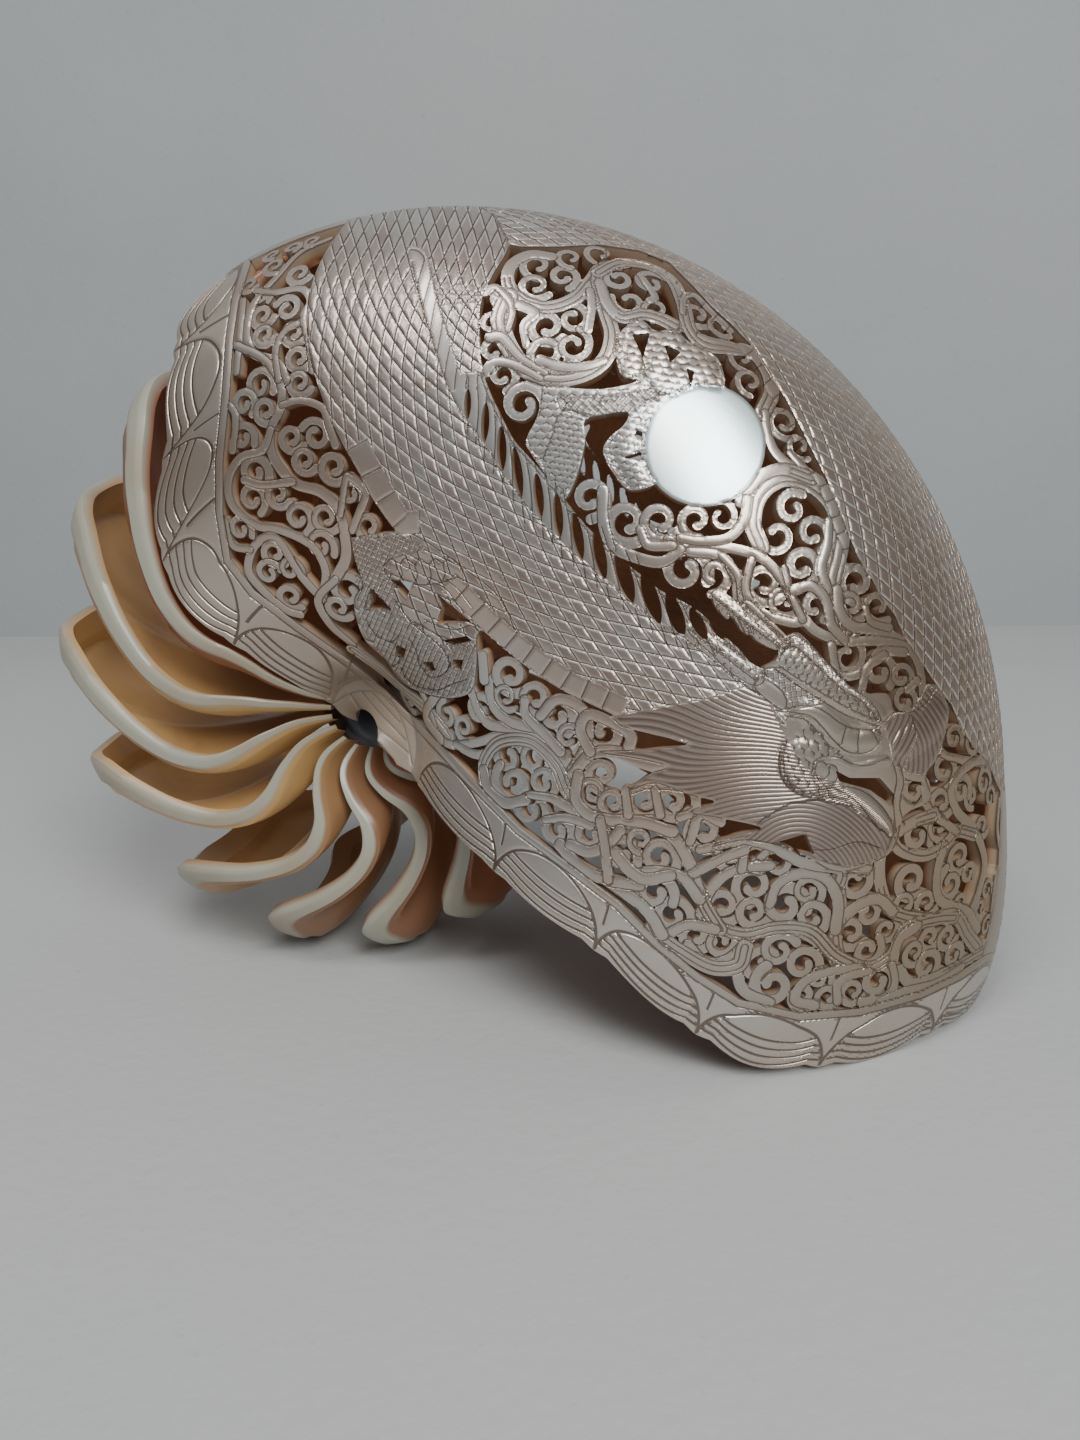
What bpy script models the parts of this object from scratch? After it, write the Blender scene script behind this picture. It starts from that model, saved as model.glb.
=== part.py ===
"""Carved nautilus shell: one grown shell, cut open so that its chamber walls stand as a fan.

The shell is a logarithmic spiral about a level axis along Y. A place on it has two coordinates:
the angle about the axis, counted from +X towards +Z, which falls towards the mouth, and the
distance along the whorl's half section, from 0 on the keel to about 1.31 in the umbilicus, as a
share of the keel's radius at that angle. Minus is the flank at +Y. Both flanks are alike.
"""
from functools import partial

import bpy
import bmesh
import numpy as np

# Coil, in metres and degrees
KEEL_RADIUS = 0.108        # axis to keel at the mouth
MOUTH_ANGLE = -25.0        # where the keel has that radius
GROWTH = 0.158             # the radius falls by this share for each radian away from the mouth
STAND = 3.42               # degrees that the coil leans back, so that its lowest places are level
AXIS_X = -0.02300          # the axis, seen from the middle of the object's footprint
AXIS_Z = 0.04475           # height of the axis over the surface that the shell rests on

# Half section of the whorl, as shares of the keel radius
SECTION_CENTRE = 0.48
SECTION_HALF_WIDTH = 0.40
SECTION_FULLNESS = 2.28    # 2 is an ellipse, more is squarer at the keel
SECTION_INNER = 0.02       # how near the section's inner end would come to the axis
SECTION_SWEEP = 164.0      # degrees of the ellipse, from the keel into the umbilicus

# Walls
WALL = 0.0021              # the carved outer wall
BLADE_WALL = 0.0013        # the chamber walls and the strips of outer wall left on them
STRIP = 0.0062             # width of such a strip
DISH = 11.0                # degrees by which a chamber wall bulges away from the mouth
FLARE = 0.0034             # the keel's lift at the mouth
FLARE_START = -6.0
FLARE_END = -26.0
FLARE_REACH = 0.36         # along the half section

# Edges of the carved outer wall: place along the half section, angle
MOUTH_EDGE = [(0.0, -24.0), (0.17, -26.4), (0.28, -28.6), (0.37, -31.2), (0.46, -34.0),
              (0.55, -36.2), (0.64, -36.3), (0.80, -33.6), (0.95, -33.0), (1.31, -31.0)]
BACK_EDGE = [(0.0, 97.0), (0.17, 99.5), (0.26, 105.5), (0.38, 108.8), (0.51, 114.0),
             (0.61, 124.0), (0.70, 131.0), (0.81, 134.0), (0.95, 134.0), (1.07, 137.0),
             (1.15, 145.0), (1.21, 162.0), (1.31, 178.0)]
MOUTH_JOINTS = [0.10, 0.27, 0.45, 0.63, 0.795, 0.96, 1.15]    # where two scallops meet
BACK_JOINTS = [0.17, 0.345, 0.53, 0.665, 0.89, 1.16]
SCALLOP = 0.0025           # height of a scallop
TOOTH = 0.0018             # height of the point between two scallops
UMBILICAL_END = 1.305      # where the outer wall stops, sunk in the hub

# Fan of chamber walls: angle, degrees that the root lags behind, reach of the tip along the keel
BLADES = [(120.5, 22.0, 0.0055), (140.5, 15.0, 0.0045), (163.6, 6.5, 0.0045),
          (186.7, 0.5, 0.0030), (213.5, -5.0, 0.0), (236.5, -6.0, -0.0025),
          (261.0, -5.0, -0.0025), (285.0, -5.0, -0.0020)]
# A blade's free edge: place along the half section, distance behind its angle, as an arc
BLADE_EDGE = [(0.0, 0.0), (0.16, 0.0005), (0.30, 0.0), (0.42, -0.0005), (0.52, 0.004),
              (0.61, 0.0115), (0.70, 0.0195), (0.79, 0.024), (0.88, 0.022), (0.97, 0.0125),
              (1.07, 0.0), (1.21, -0.005)]
KEEL_DROP = 0.08           # the blades are cut lower at the keel, by this share of the radius
DROP_ENDS = (0.08, 0.60)   # along the half section
BLADE_END = 1.208          # where a blade's strip stops, beside the hub
TIP_ENDS = (0.24, 0.52)    # along the half section
ROOT_ENDS = (0.86, 1.12)
DORSAL = 0.16              # the chamber walls gather here on the hub, as a share of the radius
HUB_LEAD = 0.0             # degrees from this place back to the free edge on the flank
LAST_WALL_SETBACK = 7.0    # the wall behind the living chamber, inside the back edge

# Hub: the innermost turns, between the two umbilical hollows
HUB_CENTRE = 0.108
HUB_HALF_DEPTH = 0.098
HUB_HALF_WIDTH = 0.165
HUB_ANGLES = (-29.0, 322.0)

# Fineness
MERGE = 0.000001           # points nearer than this are one
BODY_COLUMNS = 74
BODY_ROWS = 9
BLADE_COLUMNS = 26
DISH_ROWS = (1.0, 0.8, 0.42, 0.0)
HUB_SECTIONS = 20
HUB_POINTS = 10


def smooth_step(low, high, value):
    """0 at low, 1 at high, level at both ends."""
    t = np.clip((np.asarray(value, float) - low) / (high - low), 0, 1)
    return t * t * (3 - 2 * t)


def through(keys, value):
    """Smooth curve through the keys: cubic pieces with the mean slope of their neighbours."""
    x, y = np.array(keys, float).T
    slope = np.gradient(y, x)
    value = np.clip(np.abs(value), x[0], x[-1])
    i = np.clip(np.searchsorted(x, value) - 1, 0, len(x) - 2)
    width = x[i + 1] - x[i]
    t = (value - x[i]) / width
    rise = (3 - 2 * t) * t * t
    bend = t * (1 - t) * width * ((1 - t) * slope[i] - t * slope[i + 1])
    return y[i] * (1 - rise) + y[i + 1] * rise + bend


def half_section():
    """Table of the half section: distance along it, radius share and width share."""
    phi = np.radians(np.linspace(0, SECTION_SWEEP, 600))
    cos, sin = np.cos(phi), np.sin(phi)
    power = 2 / (2 + (SECTION_FULLNESS - 2) * (1 + cos) / 2)
    reach = np.where(cos > 0, 1 - SECTION_CENTRE, SECTION_CENTRE - SECTION_INNER)
    radius = SECTION_CENTRE + reach * np.sign(cos) * np.abs(cos) ** power
    width = SECTION_HALF_WIDTH * np.abs(sin) ** power
    along = np.concatenate([[0], np.cumsum(np.hypot(np.diff(radius), np.diff(width)))])
    return along, radius, width


ALONG, RADIUS, WIDTH = half_section()


def keel_radius(angle):
    return KEEL_RADIUS * np.exp(-GROWTH * np.radians(np.asarray(angle) - MOUTH_ANGLE))


def place(angle, radius, width):
    """Point at an angle, from its distance to the axis and its distance to the middle plane."""
    turn = np.radians(angle + STAND)
    return np.stack([AXIS_X + radius * np.cos(turn), -width + 0 * turn,
                     AXIS_Z + radius * np.sin(turn)], -1)


def bare_wall(angle, along):
    """Point of the spiral's outer surface: the half section, scaled by the keel radius."""
    size = keel_radius(angle)
    radius = size * np.interp(np.abs(along), ALONG, RADIUS)
    width = size * np.interp(np.abs(along), ALONG, WIDTH) * np.sign(along)
    return place(angle, radius, width)


def outward(angle, along):
    """Unit normal of the outer surface, from the differences to its neighbours."""
    step = 0.004
    across = bare_wall(angle, along + step) - bare_wall(angle, along - step)
    around = bare_wall(angle + 0.2, along) - bare_wall(angle - 0.2, along)
    normal = np.cross(around, across)
    return normal / np.linalg.norm(normal, axis=-1, keepdims=True)


def wall_point(angle, along, depth=0.0):
    """Point at a depth below the outer surface, which flares a little at the keel's mouth."""
    flare = smooth_step(FLARE_START, FLARE_END, angle)
    flare = flare * (1 - smooth_step(0, FLARE_REACH, np.abs(along)))
    lift = FLARE * flare - depth
    return bare_wall(angle, along) + outward(angle, along) * np.asarray(lift)[..., None]


def scallops(joints, along):
    """Height of the scalloped edge: an arc between two joints, a small point on each joint."""
    ends = np.concatenate([[-joints[0]], joints])
    place_along = np.abs(along)
    i = np.clip(np.searchsorted(ends, place_along) - 1, 0, len(ends) - 2)
    t = np.clip((place_along - ends[i]) / (ends[i + 1] - ends[i]), 0, 1)
    near_joint = np.minimum(t, 1 - t)
    arc = SCALLOP * (1 - (2 * t - 1) ** 2)
    point = TOOTH * np.clip(1 - near_joint / 0.12, 0, 1)
    past_last = place_along > joints[-1]
    return np.where(past_last, 0, arc + point)


def solid(name, faces_out, faces_in):
    """Closed solid between two grids of points that share their rows and columns."""
    rows, columns = faces_out.shape[:2]
    count = rows * columns
    points = np.concatenate([faces_out.reshape(-1, 3), faces_in.reshape(-1, 3)])
    index = np.arange(count).reshape(rows, columns)
    quads = np.stack([index[:-1, :-1], index[1:, :-1], index[1:, 1:], index[:-1, 1:]], -1)
    quads = quads.reshape(-1, 4)
    rim = np.concatenate([index[0, :-1], index[:-1, -1], index[-1, :0:-1], index[:0:-1, 0]])
    after = np.roll(rim, -1)
    sides = np.stack([rim, after, after + count, rim + count], -1)
    faces = np.concatenate([quads, quads[:, ::-1] + count, sides])
    mesh = bpy.data.meshes.new(name)
    mesh.from_pydata(points.tolist(), [], faces.tolist())
    return finish(name, mesh)


def finish(name, mesh):
    """Object of a mesh, with its faces pointing out and its round parts shaded smooth."""
    work = bmesh.new()
    work.from_mesh(mesh)
    bmesh.ops.remove_doubles(work, verts=work.verts, dist=MERGE)
    bmesh.ops.triangulate(work, faces=work.faces)
    bmesh.ops.recalc_face_normals(work, faces=work.faces)
    work.to_mesh(mesh)
    work.free()
    mesh.shade_smooth()
    mesh.set_sharp_from_angle(angle=np.radians(35))
    thing = bpy.data.objects.new(name, mesh)
    bpy.context.collection.objects.link(thing)
    return thing


def body_wall():
    """The carved outer wall, from the mouth to the back edge, round both flanks."""
    along = np.linspace(-UMBILICAL_END, UMBILICAL_END, BODY_COLUMNS + 1)
    degrees = np.degrees(1 / keel_radius(np.array([MOUTH_ANGLE, 120.0])))
    first = through(MOUTH_EDGE, along) - scallops(MOUTH_JOINTS, along) * degrees[0]
    last = through(BACK_EDGE, along) + scallops(BACK_JOINTS, along) * degrees[1]
    share = np.linspace(0, 1, BODY_ROWS + 1)[:, None]
    angle = first * (1 - share) + last * share
    along = along + 0 * angle
    return solid("nautilus_shell", wall_point(angle, along), wall_point(angle, along, WALL))


def last_wall_edge(along):
    """Angle at which the wall behind the living chamber meets the outer wall."""
    return through(BACK_EDGE, along) - LAST_WALL_SETBACK


def blade_edge(angle, lag, reach, along):
    """Angle of a blade's free edge, which runs forward at the keel and back on the flank."""
    arc = through(BLADE_EDGE, along) - reach * (1 - smooth_step(*TIP_ENDS, np.abs(along)))
    root = lag * smooth_step(*ROOT_ENDS, np.abs(along))
    return angle + root + np.degrees(arc / keel_radius(angle))


def chamber_wall(name, free_edge, strip):
    """One chamber wall, as a dish that is hollow towards the mouth.

    It starts on the outer wall, with a strip of it, and then closes on a place on the hub. The
    dish is deepest half way there.
    """
    along = np.linspace(-BLADE_END, BLADE_END, BLADE_COLUMNS + 1)
    edge = free_edge(along)
    middle = free_edge(DROP_ENDS[1]) - HUB_LEAD
    strip_degrees = np.degrees(strip / keel_radius(middle))
    wall_degrees = np.degrees(BLADE_WALL / keel_radius(middle))
    drop = 1 - KEEL_DROP * (1 - smooth_step(*DROP_ENDS, np.abs(along))) * (strip > 0)
    section_radius = np.interp(np.abs(along), ALONG, RADIUS) * drop
    section_width = np.interp(np.abs(along), ALONG, WIDTH) * np.sign(along)
    inset = 0.5 * WALL if strip == 0 else 0

    def ring(turn, share, depth):
        """Row of points on the section, drawn in towards the hub and to a depth."""
        size = keel_radius(turn)
        closer = share * (1 - depth / (SECTION_HALF_WIDTH * size))
        radius = DORSAL + (section_radius - DORSAL) * closer
        return place(turn, size * radius, size * section_width * closer)

    back, front = [], []
    if strip > 0:
        back.append(ring(edge, 1, 0))
        front.append(ring(edge, 1, BLADE_WALL))
    for share in DISH_ROWS:
        turn = strip_degrees + edge * share + middle * (1 - share)
        turn = turn + DISH * np.sin(np.pi * (1 - share)) ** 0.7
        on_wall = share == 1
        back.append(ring(turn, share, inset * on_wall))
        front.append(ring(turn - wall_degrees / max(share, 0.45), share,
                          (inset + BLADE_WALL) * on_wall))
    back, front = np.array(back), np.array(front)
    return solid(name, back, front)


def hub():
    """The innermost turns: a tapering tube wound once about the axis."""
    angle = np.linspace(HUB_ANGLES[0], HUB_ANGLES[1], HUB_SECTIONS + 1)[:, None]
    turn = np.linspace(0, 2 * np.pi, HUB_POINTS, endpoint=False)[None, :]
    size = keel_radius(angle)
    rings = place(angle + 0 * turn, size * (HUB_CENTRE + HUB_HALF_DEPTH * np.cos(turn)),
                  size * HUB_HALF_WIDTH * np.sin(turn))
    work = bmesh.new()
    rings = [[work.verts.new(point) for point in ring] for ring in rings]
    for ring, following in zip(rings, rings[1:]):
        for i in range(HUB_POINTS):
            j = (i + 1) % HUB_POINTS
            work.faces.new((ring[i], ring[j], following[j], following[i]))
    work.faces.new(rings[0])
    work.faces.new(rings[-1])
    mesh = bpy.data.meshes.new("hub")
    work.to_mesh(mesh)
    work.free()
    return finish("hub", mesh)


def nacre():
    """Pinkish grey mother of pearl, as left by polishing off the outer layer."""
    material = bpy.data.materials.new("nacre")
    material.use_nodes = True
    surface = material.node_tree.nodes["Principled BSDF"]
    surface.inputs["Base Color"].default_value = (0.60, 0.52, 0.47, 1)
    surface.inputs["Roughness"].default_value = 0.32
    surface.inputs["Metallic"].default_value = 0.0
    return material


def join(target, others):
    """Unites the other solids with the target and keeps them out of the model."""
    group = bpy.data.collections.new("grown together")
    for other in others:
        other.hide_render = True
        other.display_type = "WIRE"
        group.objects.link(other)
    union = target.modifiers.new("grown together", "BOOLEAN")
    union.operation = "UNION"
    union.solver = "EXACT"
    union.operand_type = "COLLECTION"
    union.collection = group


def main():
    for thing in list(bpy.data.objects):
        bpy.data.objects.remove(thing)
    shell = body_wall()
    shell.data.materials.append(nacre())
    inside = [hub(), chamber_wall("last_chamber_wall", last_wall_edge, 0.0)]
    for number, shape in enumerate(BLADES, 1):
        inside.append(chamber_wall("blade_%d" % number, partial(blade_edge, *shape), STRIP))
    join(shell, inside)


main()
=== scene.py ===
import math

import bpy
import numpy as np
from mathutils import Matrix


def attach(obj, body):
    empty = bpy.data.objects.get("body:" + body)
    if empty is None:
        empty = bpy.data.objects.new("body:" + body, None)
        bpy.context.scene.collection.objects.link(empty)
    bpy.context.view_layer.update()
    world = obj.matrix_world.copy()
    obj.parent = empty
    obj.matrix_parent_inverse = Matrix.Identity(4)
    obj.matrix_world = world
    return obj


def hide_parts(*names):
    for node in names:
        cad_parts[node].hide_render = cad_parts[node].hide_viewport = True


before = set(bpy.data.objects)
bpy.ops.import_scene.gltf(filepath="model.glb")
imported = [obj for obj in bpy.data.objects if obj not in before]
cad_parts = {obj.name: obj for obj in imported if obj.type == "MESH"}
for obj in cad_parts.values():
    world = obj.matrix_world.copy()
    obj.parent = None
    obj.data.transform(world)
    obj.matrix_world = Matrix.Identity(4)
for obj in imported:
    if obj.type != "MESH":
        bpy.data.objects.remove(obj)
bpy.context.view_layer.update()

# what a user would change: the coil of the shell, lengths in metres and angles in degrees
shell = {
    "keelRadius": 0.108, "mouthAngle": -25.0, "growth": 0.158, "stand": 3.42,
    "axisX": -0.02300, "axisZ": 0.04475,
    "sectionCentre": 0.48, "sectionHalfWidth": 0.40, "sectionFullness": 2.28,
    "sectionInner": 0.02, "sectionSweep": 164.0, "wall": 0.0019, "callus": 0.228, "callusEnds": (1.02, 1.20),
    "flare": 0.0034, "flareStart": -6.0, "flareEnd": -26.0, "flareReach": 0.36,
}

# the carved outer wall: its free edges as (share along the half section, angle) and its lobes
bodyWall = {
    "mouthEdge": [(0.0, -24.0), (0.17, -26.4), (0.28, -28.6), (0.37, -31.2), (0.46, -34.0), (0.55, -36.2),
                  (0.64, -36.3), (0.80, -33.6), (0.95, -33.0), (1.31, -31.0)],
    "backEdge": [(0.0, 97.0), (0.17, 99.5), (0.26, 105.5), (0.38, 108.8), (0.51, 114.0), (0.61, 124.0),
                 (0.70, 131.0), (0.81, 134.0), (0.95, 134.0), (1.07, 137.0), (1.15, 145.0), (1.21, 162.0),
                 (1.31, 178.0)],
    "mouthJoints": [0.10, 0.27, 0.45, 0.63, 0.795, 0.96, 1.15],
    "backJoints": [0.17, 0.345, 0.53, 0.665, 0.89, 1.16],
    "scallop": 0.0025, "tooth": 0.0018, "end": 1.305,
    "nearStep": (0.234, 0.00256), "farStep": (0.55, 0.006),     # the grid: degrees, share of the keel radius
    "trianglesPerPoint": 4.6, "mostTriangles": 185000.0,        # a flank is split in pieces of about this many
    "curlWide": 1.12, "stemWide": 1.42, "curlSize": 1.12, "winding": 0.80, "leadIn": 0.28, "farWide": 2.0,
    "layer": 0.00010, "edgeRound": 0.00035,
}


# a smooth step: 0 before the start, 1 past the end, 3t^2 - 2t^3 between
def smoothStep(start, end, value):
    t = np.clip((value - start) / (end - start), 0.0, 1.0)
    return t * t * (3.0 - 2.0 * t)


# a cubic through the keys, its slopes the mean of the neighbouring ones
def through(keys, value):
    x, y = (np.array(c, float) for c in zip(*keys))
    value = np.clip(np.abs(np.asarray(value, float)), x[0], x[-1])
    slope = np.gradient(y, x)
    k = np.clip(np.searchsorted(x, value) - 1, 0, len(x) - 2)
    width = x[k + 1] - x[k]
    t = (value - x[k]) / width
    return ((2 * t**3 - 3 * t**2 + 1) * y[k] + (t**3 - 2 * t**2 + t) * width * slope[k]
            + (3 * t**2 - 2 * t**3) * y[k + 1] + (t**3 - t**2) * width * slope[k + 1])


# radius of the keel: falls off exponentially with the angle
def keelRadius(angle):
    return shell["keelRadius"] * np.exp(-shell["growth"] * np.radians(angle - shell["mouthAngle"]))


# half a section as shares of the keel radius: a superellipse, walked from the keel to the umbilicus
def halfSection():
    turn = np.radians(np.linspace(0.0, shell["sectionSweep"], 600))
    c, s = np.cos(turn), np.sin(turn)
    power = 2.0 / (2.0 + (shell["sectionFullness"] - 2.0) * (1.0 + c) / 2.0)
    reach = np.where(c > 0.0, 1.0 - shell["sectionCentre"], shell["sectionCentre"] - shell["sectionInner"])
    radius = shell["sectionCentre"] + reach * np.sign(c) * np.abs(c) ** power
    width = shell["sectionHalfWidth"] * np.abs(s) ** power
    along = np.concatenate([[0.0], np.cumsum(np.hypot(np.diff(radius), np.diff(width)))])
    return along, radius, width


sectionAlong, sectionRadius, sectionWidth = halfSection()


# angle round the coil axis, distance from it and signed distance to the near side, as points
def place(angle, radius, width):
    turn = np.radians(angle + shell["stand"])
    return np.stack([shell["axisX"] + radius * np.cos(turn), -width + 0.0 * turn,
                     shell["axisZ"] + radius * np.sin(turn)], -1)


# the wall without its flare: a half section scaled by the keel radius, widened by the callus at the umbilicus
def bareWall(angle, along):
    size = keelRadius(angle)
    radius = np.interp(np.abs(along), sectionAlong, sectionRadius)
    width = np.interp(np.abs(along), sectionAlong, sectionWidth)
    width = width + np.maximum(shell["callus"] - width, 0.0) * smoothStep(*shell["callusEnds"], np.abs(along))
    return place(angle, size * radius, size * width * np.sign(along))


# the outward direction: the cross product of the steps round the coil and across it
def outward(angle, along):
    across = bareWall(angle, along + 0.004) - bareWall(angle, along - 0.004)
    around = bareWall(angle + 0.2, along) - bareWall(angle - 0.2, along)
    normal = np.cross(around, across)
    return normal / np.linalg.norm(normal, axis=-1, keepdims=True)


# the wall's surface with the mouth's flare, sunk by a depth
def wallPoint(angle, along, depth=0.0):
    flare = (shell["flare"] * smoothStep(shell["flareStart"], shell["flareEnd"], angle)
             * (1.0 - smoothStep(0.0, shell["flareReach"], np.abs(along))))
    return bareWall(angle, along) + outward(angle, along) * (flare - depth)[..., None]


# the view: place in metres, turns in degrees, the rest in units of a picture of 1080 by 1440, sensor in
# millimetres
lens = {"place": (0.034431, -0.184542, 0.091251), "azimuth": 9.629, "elevation": 14.798, "roll": -1.322,
        "focal": 1100.0, "centre": (540.0, 720.0), "pictureHeight": 1440.0, "sensor": 36.0}


# right, up and back of the view: turned by the azimuth, tilted by the elevation, then rolled
def viewAxes():
    a, e, t = (math.radians(lens[k]) for k in ("azimuth", "elevation", "roll"))
    back = np.array([math.sin(a) * math.cos(e), -math.cos(a) * math.cos(e), math.sin(e)])
    right = np.array([math.cos(a), math.sin(a), 0.0])
    up = np.cross(back, right)
    return math.cos(t) * right + math.sin(t) * up, math.cos(t) * up - math.sin(t) * right, back


viewRight, viewUp, viewBack = viewAxes()
viewPlace = np.array(lens["place"])


# a point's place in the picture and its distance along the view
def project(points):
    d = points - viewPlace
    far = -(d @ viewBack)
    return (lens["centre"][0] + lens["focal"] * (d @ viewRight) / far,
            lens["centre"][1] - lens["focal"] * (d @ viewUp) / far, far)


# a grid of the near half of the wall, with each point's place in the picture
def wallGrid(step):
    angle = np.arange(-41.0, 180.0, step[0])
    along = np.linspace(0.0, bodyWall["end"] + 0.004, int((bodyWall["end"] + 0.004) / step[1]) + 1)
    a, v = np.meshgrid(angle, along, indexing="ij")
    grid = {"angle": a, "along": v, "size": keelRadius(a), "points": wallPoint(a, v), "normal": outward(a, v)}
    grid["x"], grid["y"], grid["far"] = project(grid["points"])
    grid["radius"] = grid["size"] * np.interp(v, sectionAlong, sectionRadius)
    grid["facing"] = ((viewPlace - grid["points"]) * grid["normal"]).sum(-1) / grid["far"]
    grid["seen"] = grid["facing"] > 0.0
    grid["unit"] = grid["far"] / lens["focal"]      # metres in one picture unit, seen square on
    return grid


finder = wallGrid((1.0, 0.012))


# picture places dropped on the wall: the nearest facing grid point, then six Newton steps
def drop(places):
    places = np.atleast_2d(np.array(places, float))
    seen = finder["facing"] > 0.02
    x, y, a, v = (finder[k][seen] for k in ("x", "y", "angle", "along"))
    near = ((x[None] - places[:, :1]) ** 2 + (y[None] - places[:, 1:]) ** 2).argmin(1)
    a, v = a[near], v[near]
    for _ in range(6):
        x0, y0, _far = project(wallPoint(a, v))
        xa, ya, _far = project(wallPoint(a + 0.05, v))
        xv, yv, _far = project(wallPoint(a, v + 0.0005))
        xa, ya, xv, yv = (xa - x0) / 0.05, (ya - y0) / 0.05, (xv - x0) / 0.0005, (yv - y0) / 0.0005
        dx, dy = places[:, 0] - x0, places[:, 1] - y0
        det = xa * yv - xv * ya
        det = np.where(np.abs(det) < 50.0, np.copysign(50.0, det), det)
        a = a + np.clip((dx * yv - dy * xv) / det, -2.0, 2.0)
        v = np.clip(v + np.clip((xa * dy - ya * dx) / det, -0.02, 0.02), 0.0, bodyWall["end"])
    return a, v


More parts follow.
